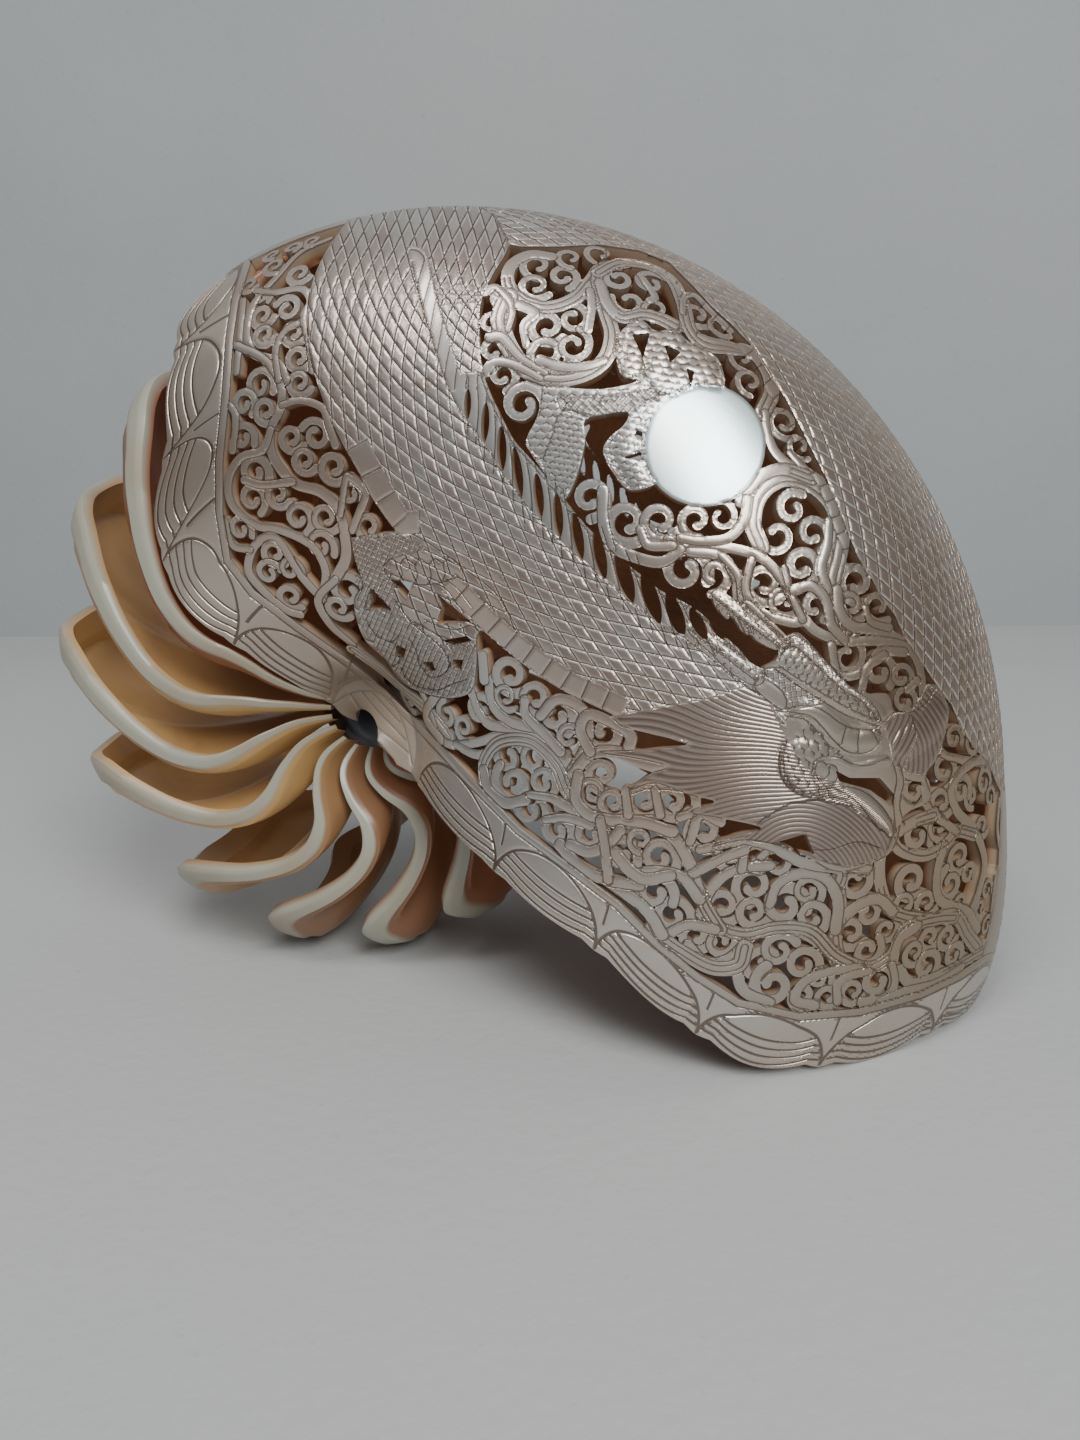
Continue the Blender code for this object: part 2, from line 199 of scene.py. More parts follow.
# scrolls: x, y and radius in the picture, degrees where the band joins its stem, degrees it winds
# (anticlockwise above 0), band width in picture units
curls = [
    (312, 240, 8, 200, -360, 5), (292, 247, 8, 20, 380, 5), (272, 254, 8, 200, -360, 5),
    (262, 296, 8, 40, 380, 5), (1003, 812, 10, 240, -380, 5), (1004, 846, 11, 60, 400, 5),
    (1003, 874, 10, 240, -380, 5), (1001, 905, 10, 60, 400, 5),
    (249, 284, 9, 240, -380, 5), (274, 265, 10, 200, -360, 5), (299, 273, 11, 240, -380, 6),
    (314, 254, 8, 200, -330, 4), (262, 315, 11, 250, -400, 6), (287, 308, 11, 60, -400, 6),
    (264, 334, 10, 250, -400, 6), (293, 332, 11, 230, -400, 6), (298, 357, 11, 240, -400, 6),
    (299, 382, 11, 240, -400, 6), (259, 384, 13, 60, 400, 6), (243, 403, 11, 40, 400, 6),
    (265, 410, 11, 230, -400, 6), (242, 437, 11, 60, 400, 6), (291, 438, 11, 240, -400, 6),
    (315, 435, 12, 60, -420, 6), (304, 460, 11, 240, -400, 6), (333, 467, 13, 240, -400, 7),
    (254, 472, 13, 60, 400, 7), (252, 499, 12, 30, 400, 6), (277, 494, 11, 240, -400, 6),
    (350, 494, 10, 60, 400, 5), (298, 518, 12, 30, 400, 6), (325, 518, 12, 240, -400, 6),
    (368, 527, 12, 240, -380, 6), (240, 529, 10, 60, 400, 5), (320, 546, 12, 60, 400, 6),
    (274, 553, 11, 230, -380, 6), (268, 573, 10, 100, 380, 5), (290, 570, 10, 60, 380, 5),
    (290, 597, 11, 230, -380, 6), (347, 592, 16, 60, 420, 7), (338, 608, 11, 240, -380, 6),
    (537, 265, 13, 200, -340, 6), (535, 285, 13, 230, -400, 6), (563, 276, 12, 20, 400, 6),
    (570, 257, 11, 200, -330, 5), (600, 253, 12, 180, -300, 5), (547, 326, 15, 225, -430, 7),
    (573, 318, 13, 30, -400, 6), (547, 353, 16, 230, -430, 7), (573, 345, 14, -20, -400, 6),
    (500, 300, 12, -30, 340, 6), (491, 323, 11, 10, 380, 5), (493, 350, 12, 10, 380, 6),
    (502, 375, 12, 10, 380, 6), (523, 404, 17, 60, 410, 8), (619, 278, 12, 180, 420, 6),
    (651, 282, 13, 120, 350, 6), (629, 301, 13, 240, 330, 6), (656, 309, 11, 180, -340, 5),
    (697, 314, 13, 235, -370, 6), (721, 325, 11, 230, -340, 5), (742, 357, 11, 200, -340, 5),
    (750, 381, 12, 190, -350, 5), (784, 422, 14, 215, -420, 6), (800, 446, 11, 230, -340, 5),
    (793, 508, 13, 130, 340, 7), (777, 535, 15, 235, 340, 7), (813, 533, 14, 20, 370, 7),
    (802, 566, 15, 10, 400, 8), (815, 606, 12, 20, 330, 7), (857, 582, 16, 200, -410, 8),
    (852, 605, 13, 240, -410, 6), (878, 606, 13, 235, -350, 6), (590, 498, 15, 0, 390, 8),
    (627, 522, 18, 250, -410, 9), (660, 521, 16, 250, -410, 8), (696, 520, 13, 200, -360, 7),
    (722, 516, 12, 30, -330, 5), (685, 570, 18, 70, 430, 9), (714, 576, 13, -20, 340, 7),
    (765, 583, 16, 225, -420, 7), (784, 600, 13, 250, -380, 5), (848, 657, 14, -20, -330, 6),
    (880, 671, 14, 40, 410, 7), (902, 677, 11, 30, 390, 5), (905, 701, 11, 60, 380, 5),
    (945, 770, 14, 10, 400, 6), (955, 738, 10, 60, 380, 5), (973, 742, 9, 230, -380, 4),
    (985, 782, 12, 60, 400, 5), (972, 797, 9, 200, -380, 5), (991, 797, 9, 60, 380, 4),
    (942, 802, 13, 230, -400, 6), (915, 790, 13, 60, 400, 6), (983, 826, 10, 240, -380, 5),
    (960, 857, 13, 210, -400, 6), (969, 874, 9, 60, 400, 5), (951, 884, 14, 200, 400, 7),
    (962, 903, 10, 240, -380, 5), (988, 890, 9, 60, 380, 4), (981, 908, 8, 240, -380, 4),
    (987, 926, 9, 60, 400, 4), (912, 881, 15, 215, -410, 8), (906, 905, 12, 240, -400, 6),
    (927, 903, 12, 235, -400, 6), (855, 882, 14, -40, -350, 7), (868, 914, 11, 60, -390, 6),
    (851, 933, 14, 235, -410, 7), (887, 930, 12, -10, -400, 6), (868, 951, 13, -40, -390, 7),
    (930, 938, 11, 250, -400, 6), (948, 937, 11, 250, -400, 6), (915, 953, 12, 250, -400, 6),
    (927, 966, 14, 10, 400, 7), (954, 956, 11, 60, 400, 6), (753, 886, 15, 170, -410, 7),
    (723, 906, 14, 220, -420, 7), (753, 912, 13, 240, -410, 7), (785, 906, 17, 80, 420, 9),
    (808, 892, 12, 60, 410, 6), (812, 918, 13, 40, 380, 7), (760, 967, 14, 130, 390, 7),
    (779, 951, 14, 110, 390, 7), (803, 965, 14, 60, 400, 7), (773, 986, 16, 200, 410, 9),
    (803, 997, 12, 250, -400, 7), (828, 997, 11, 250, -400, 6), (820, 979, 10, 60, 380, 5),
    (853, 992, 12, 250, -400, 6), (878, 982, 15, 60, 400, 8), (696, 936, 13, 250, -410, 7),
    (720, 942, 12, 300, -390, 6), (672, 916, 15, 60, 410, 7), (655, 893, 15, 60, 400, 8),
    (704, 832, 15, 220, -410, 8), (730, 855, 12, 200, -400, 6), (757, 857, 12, 200, -400, 6),
    (777, 864, 13, 100, -350, 6), (829, 832, 15, 330, 360, 9), (510, 675, 15, 210, -420, 8),
    (505, 697, 11, 220, -400, 5), (535, 698, 14, 230, -410, 7), (556, 716, 15, 40, 420, 8),
    (568, 738, 12, 20, 360, 6), (479, 711, 12, 120, 340, 6), (463, 728, 10, 200, -390, 5),
    (446, 715, 11, 180, 350, 6), (507, 757, 14, 110, 390, 7), (533, 759, 13, 60, 410, 6),
    (512, 784, 17, 220, 400, 8), (542, 783, 12, 30, 400, 6), (529, 810, 14, 60, 410, 6),
    (556, 831, 13, 60, 410, 7), (605, 733, 13, 300, 330, 8), (602, 775, 13, 200, -360, 7),
    (592, 793, 13, 200, -410, 6), (612, 803, 12, 240, -400, 6), (643, 801, 14, 240, -400, 7),
    (672, 802, 14, 240, -400, 8), (590, 836, 14, 60, 400, 7), (620, 855, 14, 60, 400, 7),
    (640, 841, 10, 200, -380, 5), (659, 858, 14, 60, 400, 7), (918, 836, 14, 60, 400, 7),
    (962, 790, 12, 60, 400, 6),
    (408, 700, 10, 230, -380, 6), (940, 826, 11, 200, -380, 5),
]

# stems: widths at the start and the end in picture units, then the places they pass
stems = [
    (4, 8, [(330, 238), (300, 252), (275, 278), (255, 300), (246, 330), (252, 352), (275, 362), (285, 380)]),
    (5, 5, [(243, 300), (240, 330), (236, 372)]),
    (6, 8, [(236, 345), (262, 358), (278, 380), (281, 405), (270, 430), (272, 455), (292, 482), (320, 492),
            (338, 510), (345, 540), (345, 560), (335, 580)]),
    (5, 6, [(281, 405), (300, 400), (322, 408), (328, 425), (335, 445)]),
    (5, 6, [(278, 380), (275, 350), (285, 330), (300, 322)]),
    (5, 6, [(255, 290), (275, 292), (300, 288), (310, 300), (303, 318), (308, 340), (312, 370)]),
    (6, 6, [(270, 430), (262, 450), (240, 458), (228, 480), (232, 505), (255, 525), (280, 530), (310, 545),
            (325, 570), (322, 600)]),
    (6, 6, [(292, 482), (262, 485), (244, 480)]),
    (5, 6, [(340, 515), (345, 480), (350, 478), (365, 492), (360, 510), (352, 530)]),
    (6, 6, [(322, 600), (300, 575), (275, 538), (255, 545), (248, 570), (262, 590), (285, 610), (300, 615)]),
    (6, 6, [(335, 580), (318, 600), (330, 625), (352, 645)]),
    (5, 6, [(222, 400), (235, 415), (232, 450)]),
    (5, 5, [(224, 520), (232, 545), (250, 550)]),
    (8, 12, [(552, 256), (530, 254), (512, 264), (508, 282), (522, 300), (548, 307), (575, 298), (592, 280),
             (602, 268), (625, 262)]),
    (10, 14, [(598, 282), (606, 312), (612, 335), (604, 360), (580, 375), (550, 378), (525, 368), (508, 345),
              (500, 320), (508, 296)]),
    (4, 6, [(508, 330), (512, 305), (496, 287), (486, 292)]),
    (5, 8, [(545, 372), (520, 357), (503, 338), (490, 337)]),
    (5, 8, [(540, 378), (515, 365), (495, 362), (485, 372)]),
    (5, 8, [(526, 345), (524, 325), (535, 313), (520, 305)]),
    (6, 8, [(604, 360), (585, 366), (560, 366), (540, 360)]),
    (6, 6, [(588, 330), (592, 305), (590, 290)]),
    (8, 12, [(600, 282), (608, 304), (622, 317), (642, 314), (660, 318), (676, 326)]),
    (10, 12, [(598, 272), (620, 262), (650, 266), (672, 280), (683, 302), (690, 328), (705, 344), (730, 348),
              (752, 352), (768, 372), (772, 392), (764, 412)]),
    (5, 6, [(640, 274), (655, 296), (650, 300)]),
    (5, 6, [(683, 312), (684, 298), (695, 295), (712, 312), (730, 330)]),
    (5, 6, [(700, 335), (712, 340), (735, 345), (758, 358)]),
    (6, 8, [(766, 412), (768, 432), (776, 452), (795, 468), (818, 480), (835, 500)]),
    (5, 6, [(790, 452), (805, 468), (822, 480)]),
    (12, 16, [(762, 548), (753, 522), (760, 494), (782, 478), (808, 482), (830, 500), (841, 528), (838, 556),
              (832, 582), (836, 608), (850, 630)]),
    (7, 10, [(740, 502), (750, 488), (765, 474), (785, 469), (812, 478)]),
    (6, 8, [(830, 520), (828, 545), (822, 568), (828, 590)]),
    (8, 8, [(838, 590), (840, 610), (852, 626), (878, 630), (900, 640)]),
    (5, 6, [(866, 608), (872, 622), (890, 628)]),
    (7, 7, [(668, 540), (690, 546), (730, 548), (762, 558), (783, 580), (797, 606), (815, 630), (845, 641),
            (880, 641), (908, 648), (920, 668), (924, 700)]),
    (8, 8, [(603, 490), (603, 520), (612, 545), (635, 557), (662, 562), (680, 550)]),
    (6, 7, [(640, 530), (648, 545), (672, 546)]),
    (6, 8, [(680, 538), (700, 541), (728, 538), (744, 520), (748, 500)]),
    (7, 8, [(690, 552), (720, 556), (735, 575), (740, 605), (748, 620)]),
    (5, 6, [(722, 556), (738, 575), (742, 600)]),
    (6, 7, [(752, 560), (746, 590), (760, 612), (790, 622), (800, 622)]),
    (5, 6, [(785, 568), (792, 595), (803, 620)]),
    (8, 7, [(795, 590), (812, 586), (826, 600), (832, 625), (845, 640)]),
    (6, 7, [(832, 645), (838, 672), (852, 676), (868, 668), (880, 652), (905, 652)]),
    (6, 7, [(862, 690), (868, 668), (885, 655)]),
    (6, 6, [(918, 680), (908, 690)]),
    (6, 6, [(940, 750), (948, 756), (975, 762), (1000, 765)]),
    (7, 8, [(1000, 760), (975, 762), (960, 775), (952, 790), (958, 812), (975, 830), (985, 860), (980, 890),
            (972, 915), (975, 940), (985, 945)]),
    (8, 9, [(890, 830), (900, 850), (925, 856), (945, 845), (958, 832), (975, 835)]),
    (7, 8, [(945, 845), (938, 870), (938, 895), (948, 905), (968, 912), (978, 930)]),
    (6, 7, [(958, 832), (935, 815), (925, 800)]),
    (5, 6, [(1000, 800), (998, 830), (1002, 860), (996, 880), (990, 940)]),
    (8, 12, [(885, 838), (880, 865), (882, 890), (893, 912), (925, 920), (955, 916), (968, 935), (978, 948)]),
    (8, 10, [(893, 912), (880, 900), (862, 904), (842, 920), (832, 945), (838, 962), (862, 968)]),
    (10, 10, [(838, 880), (840, 905), (836, 935), (842, 960), (870, 968), (892, 955), (905, 930), (935, 920),
              (955, 918)]),
    (8, 8, [(893, 965), (900, 940), (918, 926)]),
    (8, 9, [(900, 970), (912, 984), (940, 975), (965, 962), (985, 950)]),
    (8, 12, [(866, 872), (846, 866), (838, 882)]),
    (7, 9, [(770, 905), (778, 885), (800, 874), (825, 878), (838, 900), (836, 930)]),
    (8, 8, [(845, 968), (815, 940), (790, 930), (760, 932), (740, 950), (738, 975), (745, 992), (770, 1003)]),
    (9, 10, [(705, 905), (715, 925), (745, 935), (780, 928), (812, 932), (835, 955), (860, 968)]),
    (7, 8, [(700, 915), (710, 892), (725, 875), (745, 868), (770, 866)]),
    (7, 8, [(860, 968), (830, 972), (805, 982), (795, 1000), (815, 1006)]),
    (6, 7, [(870, 972), (850, 976), (838, 985), (838, 1002)]),
    (6, 8, [(893, 965), (895, 985), (882, 1000), (862, 1002)]),
    (6, 8, [(740, 948), (725, 960), (705, 962), (688, 945)]),
    (8, 10, [(690, 870), (700, 890), (705, 905), (720, 930)]),
    (8, 9, [(620, 822), (650, 825), (675, 840), (690, 865), (700, 895)]),
    (7, 8, [(700, 850), (740, 842), (770, 846), (800, 862), (830, 868), (868, 868)]),
    (6, 7, [(745, 850), (742, 870)]),
    (7, 8, [(690, 842), (700, 815), (720, 822)]),
    (7, 8, [(683, 880), (715, 862), (745, 850)]),
    (7, 8, [(640, 905), (632, 885), (645, 872), (680, 876), (700, 900)]),
    (8, 8, [(672, 932), (690, 925), (715, 930)]),
    (9, 12, [(650, 930), (682, 952), (712, 968), (738, 966), (745, 948)]),
    (9, 12, [(352, 650), (378, 669), (402, 690), (428, 712), (448, 738)]),
    (8, 10, [(893, 836), (915, 822), (935, 815)]),
    (8, 9, [(600, 876), (625, 893), (648, 912), (662, 935)]),
    (8, 8, [(880, 1003), (905, 992), (935, 984), (962, 968)]),
    (9, 8, [(560, 845), (580, 868), (606, 880), (640, 886)]),
    (6, 7, [(420, 690), (430, 712), (438, 735), (452, 745), (478, 742), (500, 735), (520, 738)]),
    (6, 7, [(455, 745), (478, 755), (500, 745), (520, 735)]),
    (7, 9, [(470, 690), (478, 712), (490, 725), (510, 728), (540, 735), (560, 752), (572, 775), (570, 795)]),
    (7, 8, [(488, 680), (492, 705), (510, 722), (535, 728)]),
    (7, 8, [(524, 700), (526, 716), (545, 735), (560, 752)]),
    (8, 8, [(540, 716), (556, 700), (578, 706), (588, 728), (584, 750), (572, 770)]),
    (9, 10, [(483, 782), (484, 760), (500, 742), (530, 742), (555, 765), (566, 790), (582, 812), (615, 822),
             (650, 822)]),
    (8, 8, [(483, 770), (488, 790), (505, 803), (525, 800)]),
    (6, 8, [(530, 795), (555, 800), (580, 815), (600, 822)]),
    (6, 7, [(545, 820), (565, 818), (590, 825)]),
    (8, 9, [(572, 775), (590, 755), (615, 752), (640, 762), (660, 768)]),
    (8, 8, [(590, 752), (580, 730), (588, 715), (610, 722), (630, 735), (628, 750)]),
    (8, 9, [(578, 775), (576, 800), (595, 818), (640, 822), (672, 832)]),
    (6, 7, [(632, 790), (650, 785), (690, 790), (695, 810), (680, 818)]),
    (6, 7, [(625, 790), (628, 815)]),
    (6, 7, [(655, 790), (660, 815)]),
    (7, 8, [(440, 690), (425, 715), (440, 740)]),
    (7, 8, [(482, 655), (484, 680)]),
    (9, 9, [(604, 835), (612, 850), (640, 878), (670, 876)]),
    (8, 8, [(570, 845), (590, 852), (610, 842), (620, 830)]),
    (7, 7, [(600, 820), (605, 850), (608, 880)]),
]

# outlines in the picture that stay whole: the dragon and its pearl
solids = {
    "body": [(372, 188), (352, 215), (333, 240), (320, 262), (313, 280), (308, 300), (307, 330), (311, 362),
             (321, 395), (332, 422), (344, 447), (357, 470), (373, 500), (396, 532), (412, 552), (430, 575), (442, 592),
             (460, 610), (480, 628), (505, 650), (535, 673), (565, 692), (590, 704), (622, 719), (660, 735),
             (760, 760), (790, 700), (755, 668), (740, 650), (720, 632), (700, 612), (680, 600), (660, 590),
             (640, 574), (622, 560), (605, 545), (590, 530), (574, 512), (560, 494), (545, 476), (528, 456),
             (512, 438), (500, 414), (488, 388), (481, 362), (479, 330), (481, 300), (492, 275), (506, 252),
             (520, 215), (520, 188)],
    "keel": [(440, 150), (470, 235), (520, 246), (560, 246), (600, 244), (640, 250), (670, 262), (692, 284),
             (712, 306), (732, 324), (752, 345), (768, 372), (786, 398), (800, 425), (815, 455), (828, 480),
             (838, 505), (848, 532), (858, 556), (870, 575), (882, 598), (895, 615), (905, 638), (922, 662),
             (936, 684), (952, 705), (962, 730), (975, 748), (988, 762), (1000, 790), (1200, 790), (1200, 150)],
    "leg": [(543, 385), (600, 389), (640, 380), (622, 376), (616, 350), (622, 330), (640, 320), (655, 330),
            (675, 330), (690, 342), (718, 358), (724, 388), (700, 386), (680, 392), (662, 402), (650, 420),
            (644, 445), (648, 470), (654, 484), (630, 490), (615, 475), (603, 452), (610, 437), (624, 425),
            (628, 412), (605, 414), (585, 420), (585, 440), (580, 465), (572, 487), (562, 500), (548, 478),
            (532, 455), (526, 440), (538, 415)],
    "arm": [(351, 538), (400, 532), (430, 545), (465, 570), (500, 600), (520, 655), (480, 630), (476, 665),
            (470, 692), (445, 698), (415, 690), (398, 678), (385, 660), (366, 642), (357, 622), (354, 600),
            (362, 585), (355, 562)],
    "head": [(752, 680), (763, 668), (776, 660), (781, 645), (796, 632), (812, 645), (832, 668), (850, 686),
             (872, 694), (888, 694), (896, 712), (916, 705), (928, 684), (942, 692), (949, 712), (944, 740),
             (936, 760), (926, 776), (931, 800), (905, 815), (895, 845), (880, 860), (840, 872), (810, 858),
             (780, 836), (760, 800), (740, 740)],
    "mane": [(612, 716), (700, 700), (760, 690), (800, 760), (850, 790), (880, 815), (893, 835), (885, 855),
             (850, 868), (815, 860), (780, 846), (745, 840), (712, 847), (735, 836), (762, 828), (720, 818),
             (690, 812), (715, 802), (690, 795), (655, 783), (630, 790), (648, 775), (668, 767), (640, 759),
             (598, 752), (640, 750), (690, 744), (655, 735), (622, 726)],
    "hornUpper": [(711, 593), (720, 590), (745, 608), (772, 627), (788, 643), (776, 650), (745, 633),
                  (718, 610)],
    "hornLower": [(686, 622), (698, 628), (720, 643), (742, 658), (765, 672), (758, 686), (735, 676),
                  (708, 651), (690, 634)],
    "hornLeaf": [(744, 600), (752, 602), (770, 620), (790, 640), (782, 646), (756, 622), (743, 608)],
}
pearl = {"centre": (704, 445), "radius": 61.5}

# openings in those outlines, in the picture: slits with their two ends and a width, the hole of the
# umbilicus, and small holes
cuts = {
    "slits": [(468, 388, 467, 420, 5), (486, 402, 484, 443, 6), (501, 425, 502, 472, 7), (514, 446, 521, 499, 7),
              (536, 472, 541, 518, 7), (556, 492, 560, 538, 7), (573, 512, 582, 560, 8), (594, 530, 605, 580, 9),
              (616, 550, 633, 603, 11), (642, 572, 660, 624, 11), (667, 592, 684, 637, 11),
              (690, 608, 707, 640, 9), (710, 612, 724, 640, 8), (730, 616, 742, 650, 8), (750, 634, 762, 664, 6)],
    "umbilicusWindow": ((300, 700), (430, 800)),
    "umbilicus": [(331, 738), (338, 728), (352, 725), (366, 731), (380, 743), (393, 758), (402, 774), (390, 780),
                  (362, 778), (342, 766), (333, 752)],
    "holes": [[(632, 335), (650, 333), (643, 359)], [(664, 345), (681, 352), (670, 363)],
              [(686, 368), (694, 372), (691, 389)], [(642, 451), (641, 461), (621, 458)],
              [(637, 430), (643, 432), (641, 440), (634, 436)], [(390, 580), (412, 583), (405, 601), (397, 592)],
              [(436, 594), (462, 615), (471, 622), (436, 625), (440, 610)], [(370, 588), (392, 611), (363, 611)],
              [(422, 662), (432, 662), (436, 670), (428, 673)], [(452, 660), (462, 660), (460, 672), (453, 670)],
              [(396, 645), (405, 650), (402, 662), (394, 656)], [(440, 641), (466, 636), (472, 641), (455, 646)],
              [(625, 728), (668, 739), (688, 744), (640, 751), (630, 747)], [(632, 759), (660, 767), (633, 785)],
              [(835, 770), (850, 778), (880, 778), (895, 795), (893, 806), (870, 790), (840, 782)],
              [(905, 780), (922, 782), (922, 798), (915, 806), (902, 795)],
              [(778, 842), (806, 834), (815, 855), (800, 852)], [(720, 818), (754, 828), (730, 838)],
              [(836, 640), (820, 635), (812, 640), (830, 660)]],
}

# the line that the dragon's scales follow, and the edge of its back where the fins stand
bodyAxis = [(395, 170), (388, 240), (382, 300), (392, 360), (415, 415), (450, 470), (495, 520), (545, 570),
            (600, 615), (660, 655), (730, 700), (800, 740)]
spineLine = [(412, 262), (420, 300), (432, 340), (445, 380), (462, 415), (484, 445), (503, 475), (522, 500),
             (540, 522), (560, 541), (583, 562), (605, 580), (632, 604), (662, 625), (684, 638), (706, 655),
             (740, 682), (770, 702)]
scales = {"pitch": 11.8, "lean": 22.0, "height": 0.00012, "tilt": 0.00019, "keelUnit": 0.00016, "slope": 0.22}
# bands of smooth plates: width and pitch in picture units, and the line along one side
plates = [(22.0, 23.0, [(622, 719), (590, 704), (565, 692), (535, 672), (505, 650), (480, 628), (460, 608),
                        (440, 590)]),
          (11.0, 17.0, [(590, 245), (640, 251), (670, 263), (692, 285), (712, 307), (732, 325), (752, 346),
                        (768, 373), (786, 399), (800, 426), (815, 456), (828, 481), (838, 506), (848, 533),
                        (858, 557), (870, 577)]),
          (24.0, 30.0, [(420, 534), (396, 532), (373, 500), (357, 470), (345, 449)])]
# hair fans out from a centre, its pitch in radians; the fins' leaf lines are above one height in the picture
mane = {"centre": (930.0, 775.0), "pitch": 0.0250, "wave": 0.6}
fins = {"window": ((400, 240), (790, 710)), "reach": -17.0, "fullBelow": 372.0, "leavesAbove": 390.0,
        "slant": 1.9, "pitch": 24.0, "width": 0.46, "rim": 3.0}

# fields of fish scales, spots, hatching, hair or hair in arcs: pitch, the two ends of an axis (or the centre
# of the arcs twice) and an outline, in the picture
fields = [
    ("cross", 7.4, (360, 540), (420, 690), [(352, 540), (400, 536), (430, 548), (385, 560), (395, 582), (392, 600),
                                            (410, 620), (440, 645), (475, 645), (470, 690), (445, 698), (415, 690),
                                            (385, 662), (360, 625), (355, 590)]),
    ("cross", 8.0, (545, 402), (640, 398), [(556, 397), (600, 394), (650, 386), (662, 396), (648, 412), (625, 412),
                                            (600, 416), (570, 410), (560, 408)]),
    ("fish", 9.5, (556, 500), (572, 410), [(560, 410), (585, 416), (586, 440), (580, 465), (572, 487), (562, 500),
                                           (548, 478), (540, 460), (552, 436)]),
    ("fish", 12.0, (546, 440), (548, 380), [(543, 386), (600, 390), (640, 382), (660, 388), (600, 396), (556, 397),
                                           (560, 410), (552, 436), (540, 460), (530, 450), (527, 440), (538, 415)]),
    ("fish", 11.0, (640, 440), (660, 330), [(616, 350), (622, 330), (640, 320), (675, 330), (718, 358), (724, 388),
                                           (700, 386), (662, 402), (650, 420), (644, 445), (654, 484), (630, 490),
                                           (603, 452), (624, 425), (628, 412), (664, 394), (622, 376)]),
    ("cross", 5.6, (776, 650), (880, 722), [(776, 652), (784, 641), (796, 633), (812, 646), (832, 666), (852, 686),
                                            (872, 703), (882, 722), (862, 702), (840, 688), (815, 664), (797, 648),
                                            (787, 648), (779, 658)]),
    ("fish", 10.5, (884, 728), (780, 656), [(779, 660), (787, 649), (797, 649), (815, 665), (840, 689), (862, 703),
                                           (880, 722), (850, 709), (830, 698), (800, 680), (779, 666)]),
    ("cross", 7.4, (754, 686), (790, 640), [(754, 686), (758, 678), (766, 668), (778, 669), (798, 684), (828, 703),
                                            (812, 706), (795, 708), (780, 709), (764, 698)]),
    ("fish", 13.0, (776, 775), (850, 745), [(783, 743), (795, 735), (812, 722), (832, 745), (848, 756), (822, 757),
                                           (813, 764), (813, 776), (822, 784), (836, 780), (832, 797), (812, 797),
                                           (795, 792), (785, 784), (780, 772), (779, 757)]),
    ("hair", 5.2, (886, 770), (916, 706), [(883, 724), (896, 713), (912, 712), (928, 702), (916, 735), (903, 772),
                                           (893, 765), (890, 745)]),
    ("arcs", 5.0, (860, 760), (860, 760), [(912, 712), (928, 684), (942, 694), (949, 714), (944, 740), (936, 760),
                                           (926, 776), (903, 772), (916, 735)]),
    ("arcs", 4.6, (800, 885), (800, 885), [(742, 842), (765, 818), (790, 803), (820, 800), (850, 806), (872, 822),
                                           (890, 838), (886, 858), (850, 868), (815, 860), (780, 846)]),
    ("spots", 8.0, (714, 592), (784, 645), [(714, 594), (720, 592), (745, 610), (772, 629), (785, 642), (776, 648),
                                            (745, 631), (718, 608)]),
    ("spots", 8.0, (686, 622), (762, 680), [(688, 624), (698, 630), (720, 645), (742, 660), (763, 673), (758, 684),
                                            (735, 674), (708, 649)]),
]

